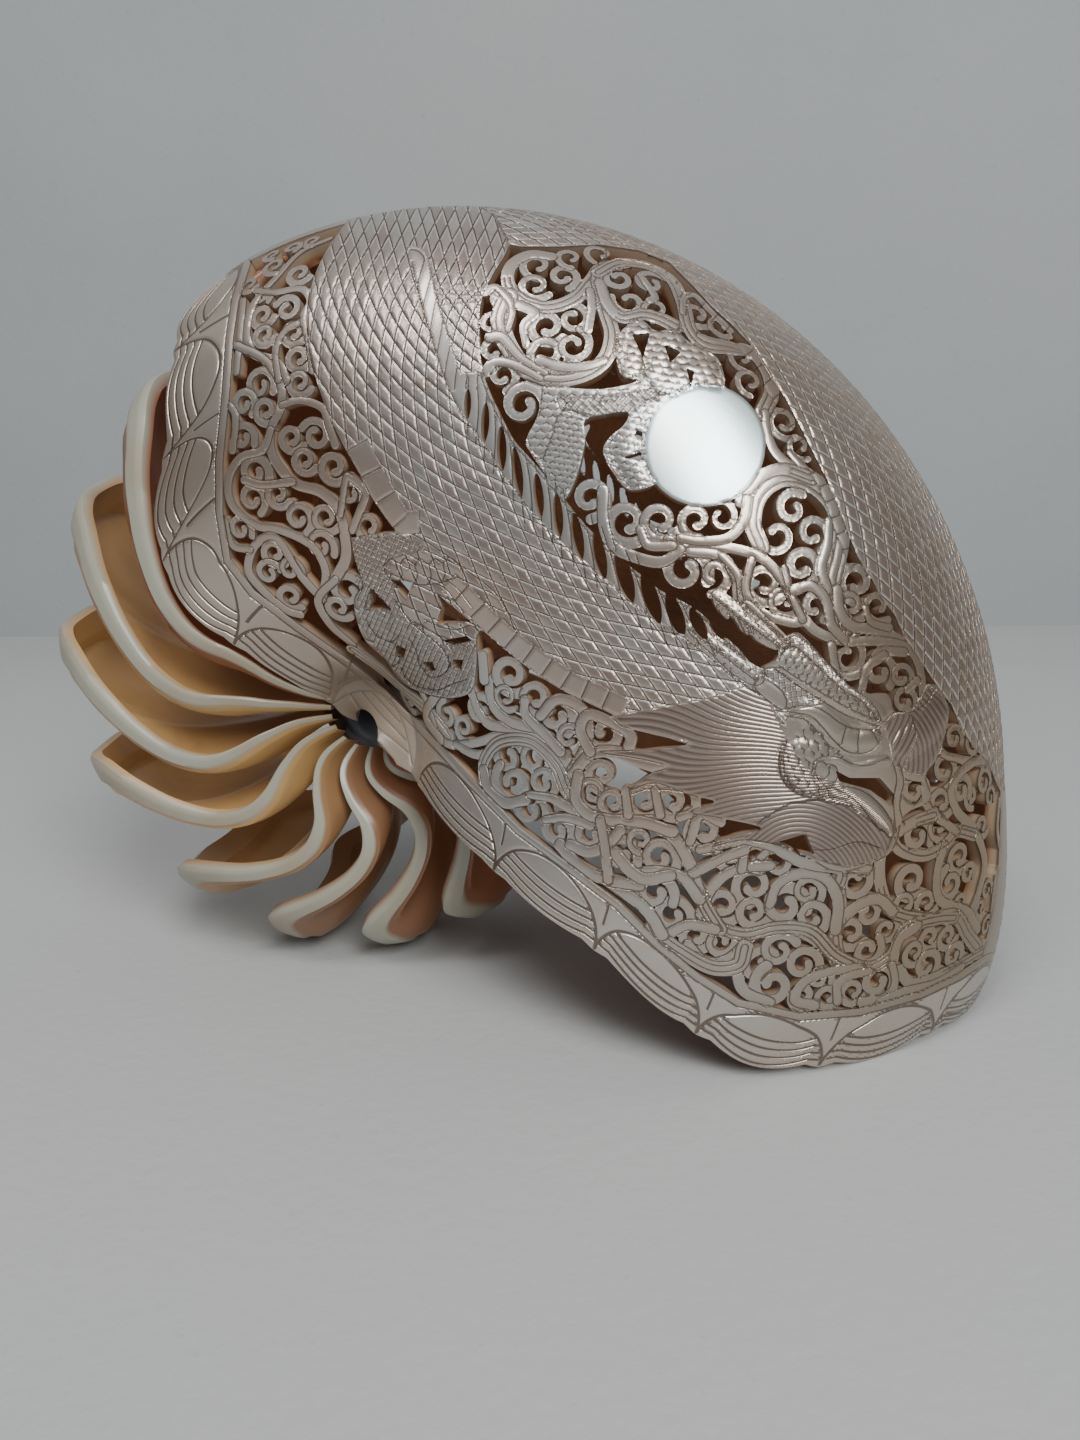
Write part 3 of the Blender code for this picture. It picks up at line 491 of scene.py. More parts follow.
# engraved lines, as places in the picture
strokes = [
    [(776, 652), (784, 641), (796, 633), (812, 646), (832, 666), (852, 686), (872, 703), (882, 722)],
    [(779, 658), (787, 648), (797, 648), (815, 664), (840, 688), (862, 702), (880, 722)],
    [(779, 666), (800, 680), (830, 698), (850, 709), (881, 722)],
    [(776, 670), (797, 685), (827, 704), (848, 716), (880, 727)],
    [(778, 668), (766, 668), (758, 678), (754, 686), (764, 698), (780, 709)],
    [(782, 710), (800, 706), (815, 707), (828, 714), (840, 723), (856, 729), (880, 730)],
    [(790, 712), (810, 716), (822, 727), (834, 741), (848, 752), (866, 753), (878, 744), (881, 731)],
    [(786, 716), (805, 720), (817, 731), (829, 745), (844, 758)],
    [(846, 727), (842, 738), (841, 747)], [(860, 730), (857, 740), (858, 752)], [(871, 730), (876, 738), (878, 743)],
    [(783, 743), (779, 757), (780, 772), (785, 784), (795, 793), (812, 798), (832, 798), (846, 799)],
    [(787, 741), (783, 757), (784, 771), (789, 782), (798, 789)],
    [(812, 772), (813, 762), (822, 757), (838, 757), (853, 764), (870, 765), (888, 757)],
    [(818, 779), (814, 771), (817, 763), (823, 762), (828, 767), (828, 774), (822, 780), (817, 778)],
    [(829, 764), (836, 767), (838, 777), (831, 788), (818, 791)],
    [(830, 786), (848, 795), (862, 808), (874, 824), (886, 833)],
    [(843, 786), (858, 789), (872, 797), (884, 809), (891, 821), (893, 834)],
    [(893, 836), (904, 850), (925, 856), (946, 846), (960, 833)],
    [(884, 722), (896, 712), (912, 712), (926, 704), (936, 688)],
    [(893, 762), (897, 778), (894, 800), (896, 830)], [(900, 764), (904, 782), (900, 805), (905, 824)],
    [(776, 843), (800, 849), (830, 850), (858, 842), (880, 848)],
    [(383, 567), (386, 576), (395, 581), (415, 585), (436, 584), (458, 577)],
    [(382, 567), (390, 560), (399, 564), (404, 559), (414, 564), (419, 559), (428, 564), (434, 559), (442, 563),
     (448, 558), (456, 562), (461, 570)],
    [(399, 564), (402, 574), (399, 581)], [(414, 564), (417, 575), (414, 584)], [(428, 564), (431, 575), (428, 584)],
    [(442, 563), (445, 573), (442, 581)],
    [(394, 600), (402, 612), (412, 624), (424, 634), (436, 644), (446, 656), (450, 668)],
    [(414, 622), (428, 630), (442, 640), (452, 652)], [(424, 620), (440, 627), (456, 630), (470, 626), (480, 634)],
    [(366, 622), (372, 632), (382, 640), (392, 642), (398, 636)], [(390, 642), (396, 650), (398, 662), (390, 668)],
    [(410, 640), (416, 652), (418, 664), (428, 676), (440, 676), (448, 668), (446, 656)],
    [(400, 668), (406, 680), (420, 688), (438, 690), (452, 684), (466, 680)],
    [(462, 612), (448, 592), (438, 585)], [(472, 608), (458, 590), (446, 580)],
    [(620, 380), (632, 378), (642, 372), (655, 365)], [(642, 358), (645, 370), (640, 380)],
    [(560, 396), (566, 402), (563, 410), (556, 420), (552, 436), (542, 460)],
    [(646, 400), (655, 396), (664, 388)], [(612, 352), (620, 362), (622, 376)],
    [(333, 704), (345, 696), (360, 691), (378, 693), (392, 703), (402, 722), (408, 742), (412, 764)],
    [(350, 695), (362, 712), (378, 728), (396, 742), (407, 752)], [(361, 692), (378, 712), (394, 728), (405, 740)],
    [(371, 692), (386, 708), (399, 722)], [(354, 655), (349, 668), (346, 678)], [(398, 690), (391, 699)],
    [(716, 600), (746, 624), (776, 645)], [(690, 630), (722, 655), (756, 681)],
    [(745, 604), (758, 616), (774, 632), (786, 644)],
]

# raised ridges: height in metres, half width in the picture, places
swells = [
    (0.00014, 4.5, [(778, 654), (786, 644), (797, 641), (813, 655), (835, 677), (860, 696), (880, 720)]),
    (0.00022, 13.0, [(783, 659), (800, 667), (830, 686), (858, 704), (874, 717)]),
    (0.00028, 12.0, [(806, 711), (820, 716), (836, 730), (850, 741), (870, 741)]),
    (0.00035, 26.0, [(803, 765), (812, 772)]), (0.00020, 4.0, [(815, 759), (838, 760), (855, 767), (886, 760)]),
    (0.00022, 5.0, [(820, 770), (821, 771)]), (0.00026, 9.0, [(836, 790), (862, 800), (880, 820), (889, 836)]),
    (0.00016, 6.0, [(716, 598), (745, 621), (778, 645)]), (0.00016, 6.0, [(690, 628), (722, 652), (757, 678)]),
    (0.00020, 14.0, [(905, 745), (925, 730), (936, 712)]), (0.00016, 10.0, [(395, 572), (452, 570)]),
    (0.00020, 12.0, [(400, 625), (430, 655), (440, 680)]), (0.00020, 8.0, [(430, 628), (470, 640)]),
    (0.00020, 12.0, [(640, 330), (630, 370)]), (0.00020, 12.0, [(672, 340), (655, 372)]),
    (0.00020, 12.0, [(706, 370), (664, 384)]), (0.00018, 10.0, [(632, 420), (625, 450), (640, 480)]),
]

# the border between the free edge and the openwork: an arch in each lobe with nested arcs, at shares of its
# width; past the picture's silhouette it starts and ends at two angles
border = {"arcs": (0.16, 0.30, 0.44, 0.58), "sag": 0.10, "arch": 0.86, "tick": 0.17, "tickEnds": (0.5, 0.93),
          "hiddenEnds": (-17.0, 92.0), "beyond": [(1150, 900), (1150, 100), (150, 100)],
          "doubleLine": (0.0001, -0.0010)}
borderLine = [(250, 262), (238, 300), (232, 340), (228, 400), (222, 460), (222, 510), (230, 560), (255, 592),
              (300, 626), (345, 658), (385, 690), (430, 735), (470, 778), (520, 828), (570, 865), (620, 903),
              (660, 943), (700, 975), (740, 1000), (800, 1014), (860, 1009), (920, 992), (958, 974), (985, 956)]


# a smooth line through places: each span cut in equal steps of a cubic
def smoothLine(places, steps=7):
    p = np.array(places, float)
    slope = np.gradient(p, axis=0)
    t = np.linspace(0.0, 1.0, steps, endpoint=False)[None, :, None]
    a, b, sa, sb = p[:-1, None], p[1:, None], slope[:-1, None], slope[1:, None]
    line = ((2 * t**3 - 3 * t**2 + 1) * a + (t**3 - 2 * t**2 + t) * sa + (3 * t**2 - 2 * t**3) * b
            + (t**3 - t**2) * sb)
    return np.concatenate([line.reshape(-1, p.shape[1]), p[-1:]])


# signed distance to a closed outline in the picture, above 0 inside: the nearest side and a crossing count
def insideOutline(x, y, outline):
    p = np.array(outline, float)
    q = np.roll(p, -1, 0)
    best = np.full(x.shape, 1e9)
    crossed = np.zeros(x.shape, int)
    for (ax, ay), (bx, by) in zip(p, q):
        ex, ey = bx - ax, by - ay
        t = np.clip(((x - ax) * ex + (y - ay) * ey) / (ex * ex + ey * ey + 1e-9), 0.0, 1.0)
        best = np.minimum(best, (x - ax - t * ex) ** 2 + (y - ay - t * ey) ** 2)
        level = (ay > y) != (by > y)
        crossed += level & (x < (y - ay) * ex / (ey if abs(ey) > 1e-9 else 1e-9) + ax)
    return np.sqrt(best) * np.where(crossed % 2 == 1, 1.0, -1.0)


# a band along a line in space: half its width less the distance, with that distance and half width
def bandField(points, line, half):
    best = np.full(len(points), -1.0)
    away = np.full(len(points), 1.0)
    wide = np.full(len(points), 1e-4)
    for a, b, ha, hb in zip(line[:-1], line[1:], half[:-1], half[1:]):
        e = b - a
        d = points - a
        t = np.clip((d @ e) / (e @ e + 1e-14), 0.0, 1.0)
        gap = np.linalg.norm(d - t[:, None] * e, axis=1)
        h = ha + t * (hb - ha)
        better = h - gap > best
        best = np.where(better, h - gap, best)
        away = np.where(better, gap, away)
        wide = np.where(better, h, wide)
    return best, away, wide


# where a curl's band runs: a spiral on the tangent plane, its radius 1 - 0.64 t^1.2, that swings in from its
# stem before t = 0
def curlLine(centre, normal, radius, start, wind):
    right = viewRight - normal * (viewRight @ normal)
    right /= np.linalg.norm(right)
    up = np.cross(normal, right)
    t = np.linspace(-bodyWall["leadIn"], 1.0, 34)
    turn = np.radians(start + bodyWall["winding"] * wind * t)
    inward, before = np.clip(t, 0.0, 1.0) ** 1.2, np.clip(-t, 0.0, 1.0) ** 1.2
    reach = bodyWall["curlSize"] * radius * (1.0 - 0.64 * inward + 1.1 * before)
    return centre + reach[:, None] * (np.cos(turn)[:, None] * right + np.sin(turn)[:, None] * up)


# every curl and stem as a line on the wall with half its width along it, and whether it is a stem
def ornamentBands():
    bands = []
    table = np.array(curls, float)
    a, v = drop(table[:, :2])
    centres, normals = wallPoint(a, v), outward(a, v)
    unit = project(centres)[2] / lens["focal"]
    for row, centre, normal, u in zip(table, centres, normals, unit):
        line = curlLine(centre, normal, row[2] * u, row[3], row[4])
        half = np.linspace(0.60, 0.40, len(line)) * row[5] * u * bodyWall["curlWide"]
        half[-4:] *= np.array([1.1, 1.25, 1.3, 1.1])
        bands.append((line, half, False))
    for start, end, places in stems:
        path = smoothLine(places)
        a, v = drop(path)
        line = wallPoint(a, v)
        u = project(line)[2] / lens["focal"]
        half = 0.5 * np.linspace(start, end, len(line)) * u * bodyWall["stemWide"]
        bands.append((line, half, True))
    return bands


# how far from joint to joint, 0 to 1; -1 past the last joint
def lobeShare(joints, along):
    joints = np.array(joints)
    k = np.clip(np.searchsorted(joints, along) - 1, 0, len(joints) - 2)
    t = np.where(along < joints[0], 0.5 + 0.5 * along / joints[0],
                 (along - joints[k]) / (joints[k + 1] - joints[k]))
    return np.where(along > joints[-1], -1.0, t)


# metres that the edge is moved out: an arc 1 - (2t - 1)^2 between the joints and a tooth at each joint
def lobes(joints, along):
    share = lobeShare(joints, along)
    t = np.clip(share, 0.0, 1.0)
    arc = bodyWall["scallop"] * (1.0 - (2.0 * t - 1.0) ** 2)
    tooth = bodyWall["tooth"] * np.clip(1.0 - np.minimum(t, 1.0 - t) / 0.12, 0.0, 1.0)
    return np.where(share < -0.5, 0.0, arc + tooth)


# the sum of a line's steps
def lineLength(line):
    return float(np.linalg.norm(np.diff(line, axis=0), axis=1).sum())


# length along a line in the picture and the signed distance from it, of the nearest place
def alongAxis(x, y, line):
    best = np.full(x.shape, 1e9)
    row = np.zeros(x.shape)
    turn = np.zeros(x.shape)
    done = 0.0
    for (ax, ay), (bx, by) in zip(line[:-1], line[1:]):
        ex, ey = bx - ax, by - ay
        long = math.hypot(ex, ey)
        t = np.clip(((x - ax) * ex + (y - ay) * ey) / long**2, 0.0, 1.0)
        dx, dy = x - ax - t * ex, y - ay - t * ey
        gap = dx * dx + dy * dy
        closer = gap < best
        best = np.where(closer, gap, best)
        row = np.where(closer, done + t * long, row)
        turn = np.where(closer, np.sqrt(gap) * np.sign(ex * dy - ey * dx), turn)
        done += long
    return row, turn


# of two signed distances the one nearer to its line
def nearer(a, b):
    return np.where(np.abs(b) < np.abs(a), b, a)


# overlapping round scales in rows: signed distance to the rim that lies on top
def fishScales(r, t, pitch):
    step, radius = 0.62 * pitch, 0.60 * pitch
    row = np.floor(r / step)
    gap = np.full(r.shape, 100.0)
    for k in (-1.0, 0.0, 1.0):
        i = row + k
        shift = 0.5 * pitch * np.mod(i, 2.0)
        across = t - shift - np.round((t - shift) / pitch) * pitch
        rim = np.hypot(r - i * step, across) - radius
        gap = np.where(rim < 0.0, rim, nearer(gap, rim))
    return gap


# rows of round pits, every other row shifted by half a pitch
def spotGap(r, t, pitch):
    row = np.round(t / (0.6 * pitch))
    along = r - 0.5 * pitch * np.mod(row, 2.0)
    return np.hypot(along - np.round(along / pitch) * pitch, t - row * 0.6 * pitch) - 0.7


# lines on the fins: on from the ends of each slit and halfway from slit to slit
def finLines():
    ends = np.array(cuts["slits"], float)[:, :4].reshape(-1, 2, 2)
    reach = ends[:, 1] - ends[:, 0]
    between, along = 0.5 * (ends[:-1] + ends[1:]), 0.5 * (reach[:-1] + reach[1:])
    lines = [[a - 0.30 * d, a] for (a, b), d in zip(ends, reach)]
    lines += [[b, b + 0.45 * d] for (a, b), d in zip(ends, reach)]
    lines += [[a - 0.25 * d, 0.5 * (a + b) + (2.0, 0.0), b + 0.35 * d] for (a, b), d in zip(between, along)]
    return lines


# the engraving, in metres: where its lines run, how deep they are and over what width a mark fades in
engraving = {
    "noLine": 0.01,                             # a distance that stands for no line near
    "stemWide": 0.00090, "stemLine": 0.42,      # stems wider than this have a line at this share of their width
    "under": 0.00025, "besideBand": 0.0005,     # lines where one band lies over another
    "besideMask": 0.0002, "bandInside": 0.0011, "rimFacing": 0.20, "rimScale": 0.01,
    "groove": 0.00006, "grooveWide": 0.00028, "edge": 0.00006, "hair": 0.00002, "fade": 0.0003, "hairFade": 0.0004,
}


# the points that are seen between two corners in the picture
def within(grid, low, high):
    x, y = grid["x"], grid["y"]
    return grid["seen"] & (x > low[0]) & (x < high[0]) & (y > low[1]) & (y < high[1])


# a distance where a condition holds, and elsewhere that of no line
def lineWhere(condition, distance):
    return np.where(condition, distance, engraving["noLine"])


# metres to the nearest free edge, above 0 in the wall, and where the mouth is nearer than the back: each edge
# is a curve through its keys, moved out by its lobes
def freeEdges(grid):
    angle, along, size, radius = (grid[k] for k in ("angle", "along", "size", "radius"))
    mouth = through(bodyWall["mouthEdge"], along) - np.degrees(lobes(bodyWall["mouthJoints"], along) / size)
    back = through(bodyWall["backEdge"], along) + np.degrees(lobes(bodyWall["backJoints"], along) / size)
    backSlope = np.gradient(through(bodyWall["backEdge"], along[0]), along[0])
    lean = 1.0 / np.hypot(1.0, np.radians(backSlope)[None] * radius / size)
    edge = np.minimum(np.radians(angle - mouth) * radius, np.radians(back - angle) * radius * lean)
    return np.minimum(edge, (bodyWall["end"] - along) * size), angle - mouth < back - angle


# metres inside the border's line, above 0 in the openwork: by the outline, or by angles where it isn't seen
def openPanel(grid):
    seen, (low, high) = grid["seen"], border["hiddenEnds"]
    panel = np.minimum(grid["angle"] - low, high - grid["angle"]) * np.radians(1.0) * grid["radius"]
    outline = borderLine + border["beyond"]
    panel[seen] = insideOutline(grid["x"][seen], grid["y"][seen], outline) * grid["unit"][seen]
    return panel


# signed distance in metres to each outline that stays whole and to the pearl, above 0 inside
def wholeParts(grid):
    x, y, unit, seen = (grid[k] for k in ("x", "y", "unit", "seen"))
    masks = {}
    for name, places in solids.items():
        outline = smoothLine(places + places[:1], 4)[:-1] if name != "keel" else places
        masks[name] = np.full(x.shape, 0.001 if name == "keel" else -1.0)
        masks[name][seen] = insideOutline(x[seen], y[seen], outline) * unit[seen]
    px, py = pearl["centre"]
    masks["pearl"] = np.where(seen, (pearl["radius"] - np.hypot(x - px, y - py)) * unit, -1.0)
    return masks


# what stays whole: the outlines and a strip at the silhouette, less slits (lens shaped, half width
# 0.7 w (4t(1 - t))^0.7) and holes
def solidField(grid, masks):
    x, y, unit, seen = (grid[k] for k in ("x", "y", "unit", "seen"))
    solid = np.maximum.reduce(list(masks.values()))
    atRim = seen & ((x > 900.0) | ((x < 360.0) & (y < 270.0)))
    strip = (engraving["rimFacing"] - grid["facing"]) * engraving["rimScale"]
    solid = np.where(atRim, np.maximum(solid, strip), solid)
    for x0, y0, x1, y1, wide in cuts["slits"]:
        ex, ey = x1 - x0, y1 - y0
        t = np.clip(((x - x0) * ex + (y - y0) * ey) / (ex * ex + ey * ey), 0.0, 1.0)
        gap = np.hypot(x - x0 - t * ex, y - y0 - t * ey) - 0.70 * wide * (4.0 * t * (1.0 - t)) ** 0.7
        solid = np.where(seen, np.minimum(solid, gap * unit), solid)
    for places in cuts["holes"]:
        corner = np.array(places[0], float)
        near = within(grid, corner - 80.0, corner + 80.0)
        solid[near] = np.minimum(solid[near], -insideOutline(x[near], y[near], places) * unit[near])
    return solid


# the bands of the openwork: their field above 0, the lines along them and how deep they lie
def layBands(grid, bands, wider):
    points, shape = grid["points"].reshape(-1, 3), grid["angle"].shape
    ribbon, level = np.full(len(points), -1.0), np.zeros(len(points))
    line = np.full(len(points), engraving["noLine"])
    for path, half, stem in bands:
        low, high = path.min(0) - 0.0022, path.max(0) + 0.0022
        near = np.flatnonzero(((points > low) & (points < high)).all(1))
        if not len(near):
            continue
        best, away, wide = bandField(points[near], path, half * wider)
        before = ribbon[near]
        kept = np.where(best > 0.0, engraving["noLine"], line[near])
        inner = (wide > engraving["stemWide"]) & (best > 0.0) & stem
        kept = nearer(kept, lineWhere(inner, away - engraving["stemLine"] * wide))
        crossing = (before > -engraving["under"]) & (np.abs(best) < engraving["besideBand"])
        line[near] = nearer(kept, lineWhere(crossing, best))
        level[near] = np.where(best > 0.0, 0.0 if stem else bodyWall["layer"], level[near])
        ribbon[near] = np.maximum(before, best)
    return ribbon.reshape(shape), line.reshape(shape), level.reshape(shape)


# lines of the border: an arch hypot(2t - 1, b / 0.86) = 1 in each lobe, nested arcs in it and a short line
# between lobes, with t the share from joint to joint and b that from the free edge to the openwork
def borderLines(grid, line, edge, panel, nearMouth):
    along = grid["along"]
    t = np.where(nearMouth, lobeShare(bodyWall["mouthJoints"], along), lobeShare(bodyWall["backJoints"], along))
    b = edge / np.maximum(edge - panel, 1e-6)
    inBand = (panel < -engraving["bandInside"]) & (edge > 0.0) & (t > -0.5)
    wide = np.maximum(edge - panel, 1e-4)
    around = np.hypot(2.0 * t - 1.0, b / border["arch"])
    line = nearer(line, lineWhere(inBand, (around - 1.0) * wide * 0.8))
    for shift in border["arcs"]:
        gap = (b - shift + border["sag"] * (1.0 - (2.0 * t - 1.0) ** 2)) * wide
        line = nearer(line, lineWhere((around < 1.0) & inBand, gap))
    low, high = border["tickEnds"]
    tick = np.where(t < 0.5, t, t - 1.0) * border["tick"] * grid["size"]
    return nearer(line, lineWhere(inBand & (b > low) & (b < high), tick)), inBand


# scales: a lozenge lattice along the dragon's body and along the keel, as two running counts
def scaleCounts(grid, masks):
    row, turn = alongAxis(grid["x"], grid["y"], smoothLine(bodyAxis))
    onBody = (masks["body"] > masks["keel"]) | (masks["mane"] > 0.0)
    row = np.where(onBody, row, np.radians(grid["angle"]) * shell["keelRadius"] / scales["keelUnit"])
    turn = np.where(onBody, turn, grid["along"] * grid["size"] / scales["keelUnit"])
    c, s = math.cos(math.radians(scales["lean"])), math.sin(math.radians(scales["lean"]))
    return (row * s + turn * c) / scales["pitch"], (row * s - turn * c) / scales["pitch"]


# plates: smooth bands with cross lines; returns the lines and where the plates are
def layPlates(grid, line):
    x, y, unit = grid["x"], grid["y"], grid["unit"]
    plated = np.zeros(x.shape, bool)
    for wide, pitch, places in plates:
        path = smoothLine(places)
        r, across = alongAxis(x, y, path)
        here = grid["seen"] & (np.abs(across - 0.5 * wide) < 0.5 * wide) & (r > 1.0) & (r < lineLength(path) - 1.0)
        plated |= here
        cell = (r / pitch - np.round(r / pitch)) * pitch * unit
        line = np.where(here, nearer(nearer(cell, across * unit), (across - wide) * unit), line)
    return line, plated


# marks each field of scales, spots or hair in its outline, in the grid's arrays
def markFields(grid):
    x, y, unit, line = grid["x"], grid["y"], grid["unit"], grid["line"]
    for kind, pitch, (ax, ay), (bx, by), outline in fields:
        places = np.array(outline, float)
        here = within(grid, places.min(0) - 3.0, places.max(0) + 3.0)
        u, v = x[here] - ax, y[here] - ay
        inside = insideOutline(x[here], y[here], outline) * unit[here]
        long = max(math.hypot(bx - ax, by - ay), 1e-6)
        r, across = (u * (bx - ax) + v * (by - ay)) / long, (v * (bx - ax) - u * (by - ay)) / long
        if kind == "cross":
            for key, count in (("scaleRow", (r + across) / pitch), ("scaleTurn", (r - across) / pitch)):
                grid[key][here] = np.where(inside > 0.0, count, grid[key][here])
            grid["scaled"][here] = np.maximum(grid["scaled"][here], inside)
            continue
        grid["scaled"][here] = np.where(inside > 0.0, -1.0, grid["scaled"][here])
        if kind in ("hair", "arcs"):
            strand = np.hypot(u, v) if kind == "arcs" else across + mane["wave"] * np.sin(r / 9.0)
            grid["hairRow"][here] = np.where(inside > 0.0, strand / pitch, grid["hairRow"][here])
            grid["haired"][here] = np.maximum(grid["haired"][here], inside)
        else:
            gap = fishScales(r, across, pitch) if kind == "fish" else spotGap(r, across, pitch)
            line[here] = np.where(inside > 0.0, nearer(line[here], gap * unit[here]), line[here])


# the fins along the back: leaf lines across them, a line at their rim, and where they are
def markFins(grid, masks):
    near = within(grid, *fins["window"])
    x, y, unit, line = grid["x"][near], grid["y"][near], grid["unit"][near], grid["line"]
    row, turn = alongAxis(x, y, smoothLine(spineLine))
    finned = (turn < 0.0) & (masks["body"][near] > 0.0) & ((turn > fins["reach"]) | (y > fins["fullBelow"]))
    leaf = (row - fins["slant"] * turn) / fins["pitch"]
    leaf = (leaf - np.round(leaf)) * fins["pitch"] * fins["width"] * unit
    kept = nearer(line[near], turn * unit)
    kept = np.where(finned & (y < fins["leavesAbove"]), nearer(kept, leaf), kept)
    line[near] = nearer(kept, lineWhere(finned, masks["body"][near] - fins["rim"] * unit))
    grid["scaled"][near] = np.where(finned, -1.0, grid["scaled"][near])


# the wall's solid field (above 0 in the wall, metres), its relief and the lines to engrave
def carve(grid, bands, farSide):
    x, y, unit = grid["x"], grid["y"], grid["unit"]
    edge, nearMouth = freeEdges(grid)
    panel, masks = openPanel(grid), wholeParts(grid)
    solid = solidField(grid, masks)
    ribbon, line, level = layBands(grid, bands, bodyWall["farWide"] if farSide else 1.0)

    field = np.minimum(np.maximum(np.maximum(-panel, solid), ribbon), edge)
    near = within(grid, *cuts["umbilicusWindow"])
    field[near] = np.minimum(field[near], -insideOutline(x[near], y[near], cuts["umbilicus"]) * unit[near])
    over = np.maximum(solid, -panel)
    line = np.where(over > 0.0, engraving["noLine"], line)
    line = nearer(line, lineWhere(ribbon > 0.0, over))
    for shift in border["doubleLine"]:
        line = nearer(line, panel - shift)
    for name in ("leg", "arm", "pearl", "hornUpper", "hornLower", "hornLeaf"):
        line = nearer(line, lineWhere(over > masks[name] + engraving["besideMask"], masks[name]))
    line, inBand = borderLines(grid, line, edge, panel, nearMouth)
    line, plated = layPlates(grid, line)

    hairRow = np.arctan2(y - mane["centre"][1], mane["centre"][0] - x) / mane["pitch"]
    grid["hairRow"] = hairRow + mane["wave"] * np.sin(x / 23.0 + y / 31.0)
    grid["haired"] = masks["mane"].copy()
    grid["scaleRow"], grid["scaleTurn"] = scaleCounts(grid, masks)
    grid["scaled"] = np.maximum.reduce([masks[k] for k in ("body", "keel", "leg", "arm")])
    grid["line"] = line
    markFields(grid)
    for places in strokes + finLines():
        path = smoothLine(places, 5)
        here = within(grid, path.min(0) - 5.0, path.max(0) + 5.0)
        line[here] = nearer(line[here], alongAxis(x[here], y[here], path)[1] * unit[here])
    lift = np.zeros(x.shape)
    for height, wide, places in swells:
        path = smoothLine(places, 5)
        here = within(grid, path.min(0) - wide, path.max(0) + wide)
        gap = alongAxis(x[here], y[here], path)[1]
        lift[here] = np.maximum(lift[here], height * np.sqrt(np.clip(1.0 - (gap / wide) ** 2, 0.0, 1.0)))
    grid["scaled"] = np.where(plated | (masks["mane"] > 0.0), -1.0, grid["scaled"])
    markFins(grid, masks)
    grid.update(field=field, level=np.where(over > 0.0, 0.0, level), panel=panel, pearl=masks["pearl"], lift=lift,
                bold=inBand)


# keeps only what hangs together with the border: a flood from it over the solid grid, a step each way at a time
def dropLoose(grid):
    keep = grid["field"] > 0.0
    reached = keep & (grid["panel"] < 0.0)
    while True:
        grown = reached.copy()
        for axis, shift in ((0, 1), (0, -1), (1, 1), (1, -1)):
            grown |= np.roll(reached, shift, axis)
        grown &= keep
        if (grown == reached).all():
            break
        reached = grown
    loose = keep & ~reached
    grid["field"] = np.where(loose, -0.0002, grid["field"])
    return int(loose.sum())


# depth in metres under the polished surface: grooves g exp(-(d / w)^2), rounded edges, tilted scales, waves of
# hair and raised ridges
def relief(grid):
    rim = np.clip(1.0 - grid["field"] / bodyWall["edgeRound"], 0.0, 1.0)
    depth = engraving["groove"] * np.exp(-(grid["line"] / engraving["grooveWide"]) ** 2)
    depth = depth + engraving["edge"] * rim**2 + grid["level"]
    p, q = (grid[k] - np.floor(grid[k]) for k in ("scaleRow", "scaleTurn"))
    lozenge = np.minimum(np.minimum(p, 1.0 - p), np.minimum(q, 1.0 - q))
    lift = scales["height"] * (1.0 - np.clip(lozenge / scales["slope"], 0.0, 1.0))
    lift = lift + scales["tilt"] * (1.0 - 0.5 * (p + q))
    depth = depth + np.clip(grid["scaled"] / engraving["fade"], 0.0, 1.0) * lift
    hair = engraving["hair"] * (1.0 + np.sin(2.0 * math.pi * grid["hairRow"]))
    depth = depth + hair * np.clip(grid["haired"] / engraving["hairFade"], 0.0, 1.0)
    return depth - grid["lift"] * (grid["field"] > -0.0005)


# a piece of the shell from points and faces, with values at its points and normals at its corners
def meshObject(name, points, faces, normals=None, values=None):
    mesh = bpy.data.meshes.new(name)
    mesh.from_pydata(points.tolist(), [], faces)
    mesh.polygons.foreach_set("use_smooth", np.full(len(faces), True))
    for key, data in (values or {}).items():
        layer = mesh.attributes.new(key, "FLOAT", "POINT")
        layer.data.foreach_set("value", np.asarray(data, np.float32))
    if normals is not None:
        mesh.normals_split_custom_set(normals.tolist())
    mesh.update()
    thing = bpy.data.objects.new(name, mesh)
    bpy.context.scene.collection.objects.link(thing)
    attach(thing, "root")
    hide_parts("nautilus_shell")
    return thing


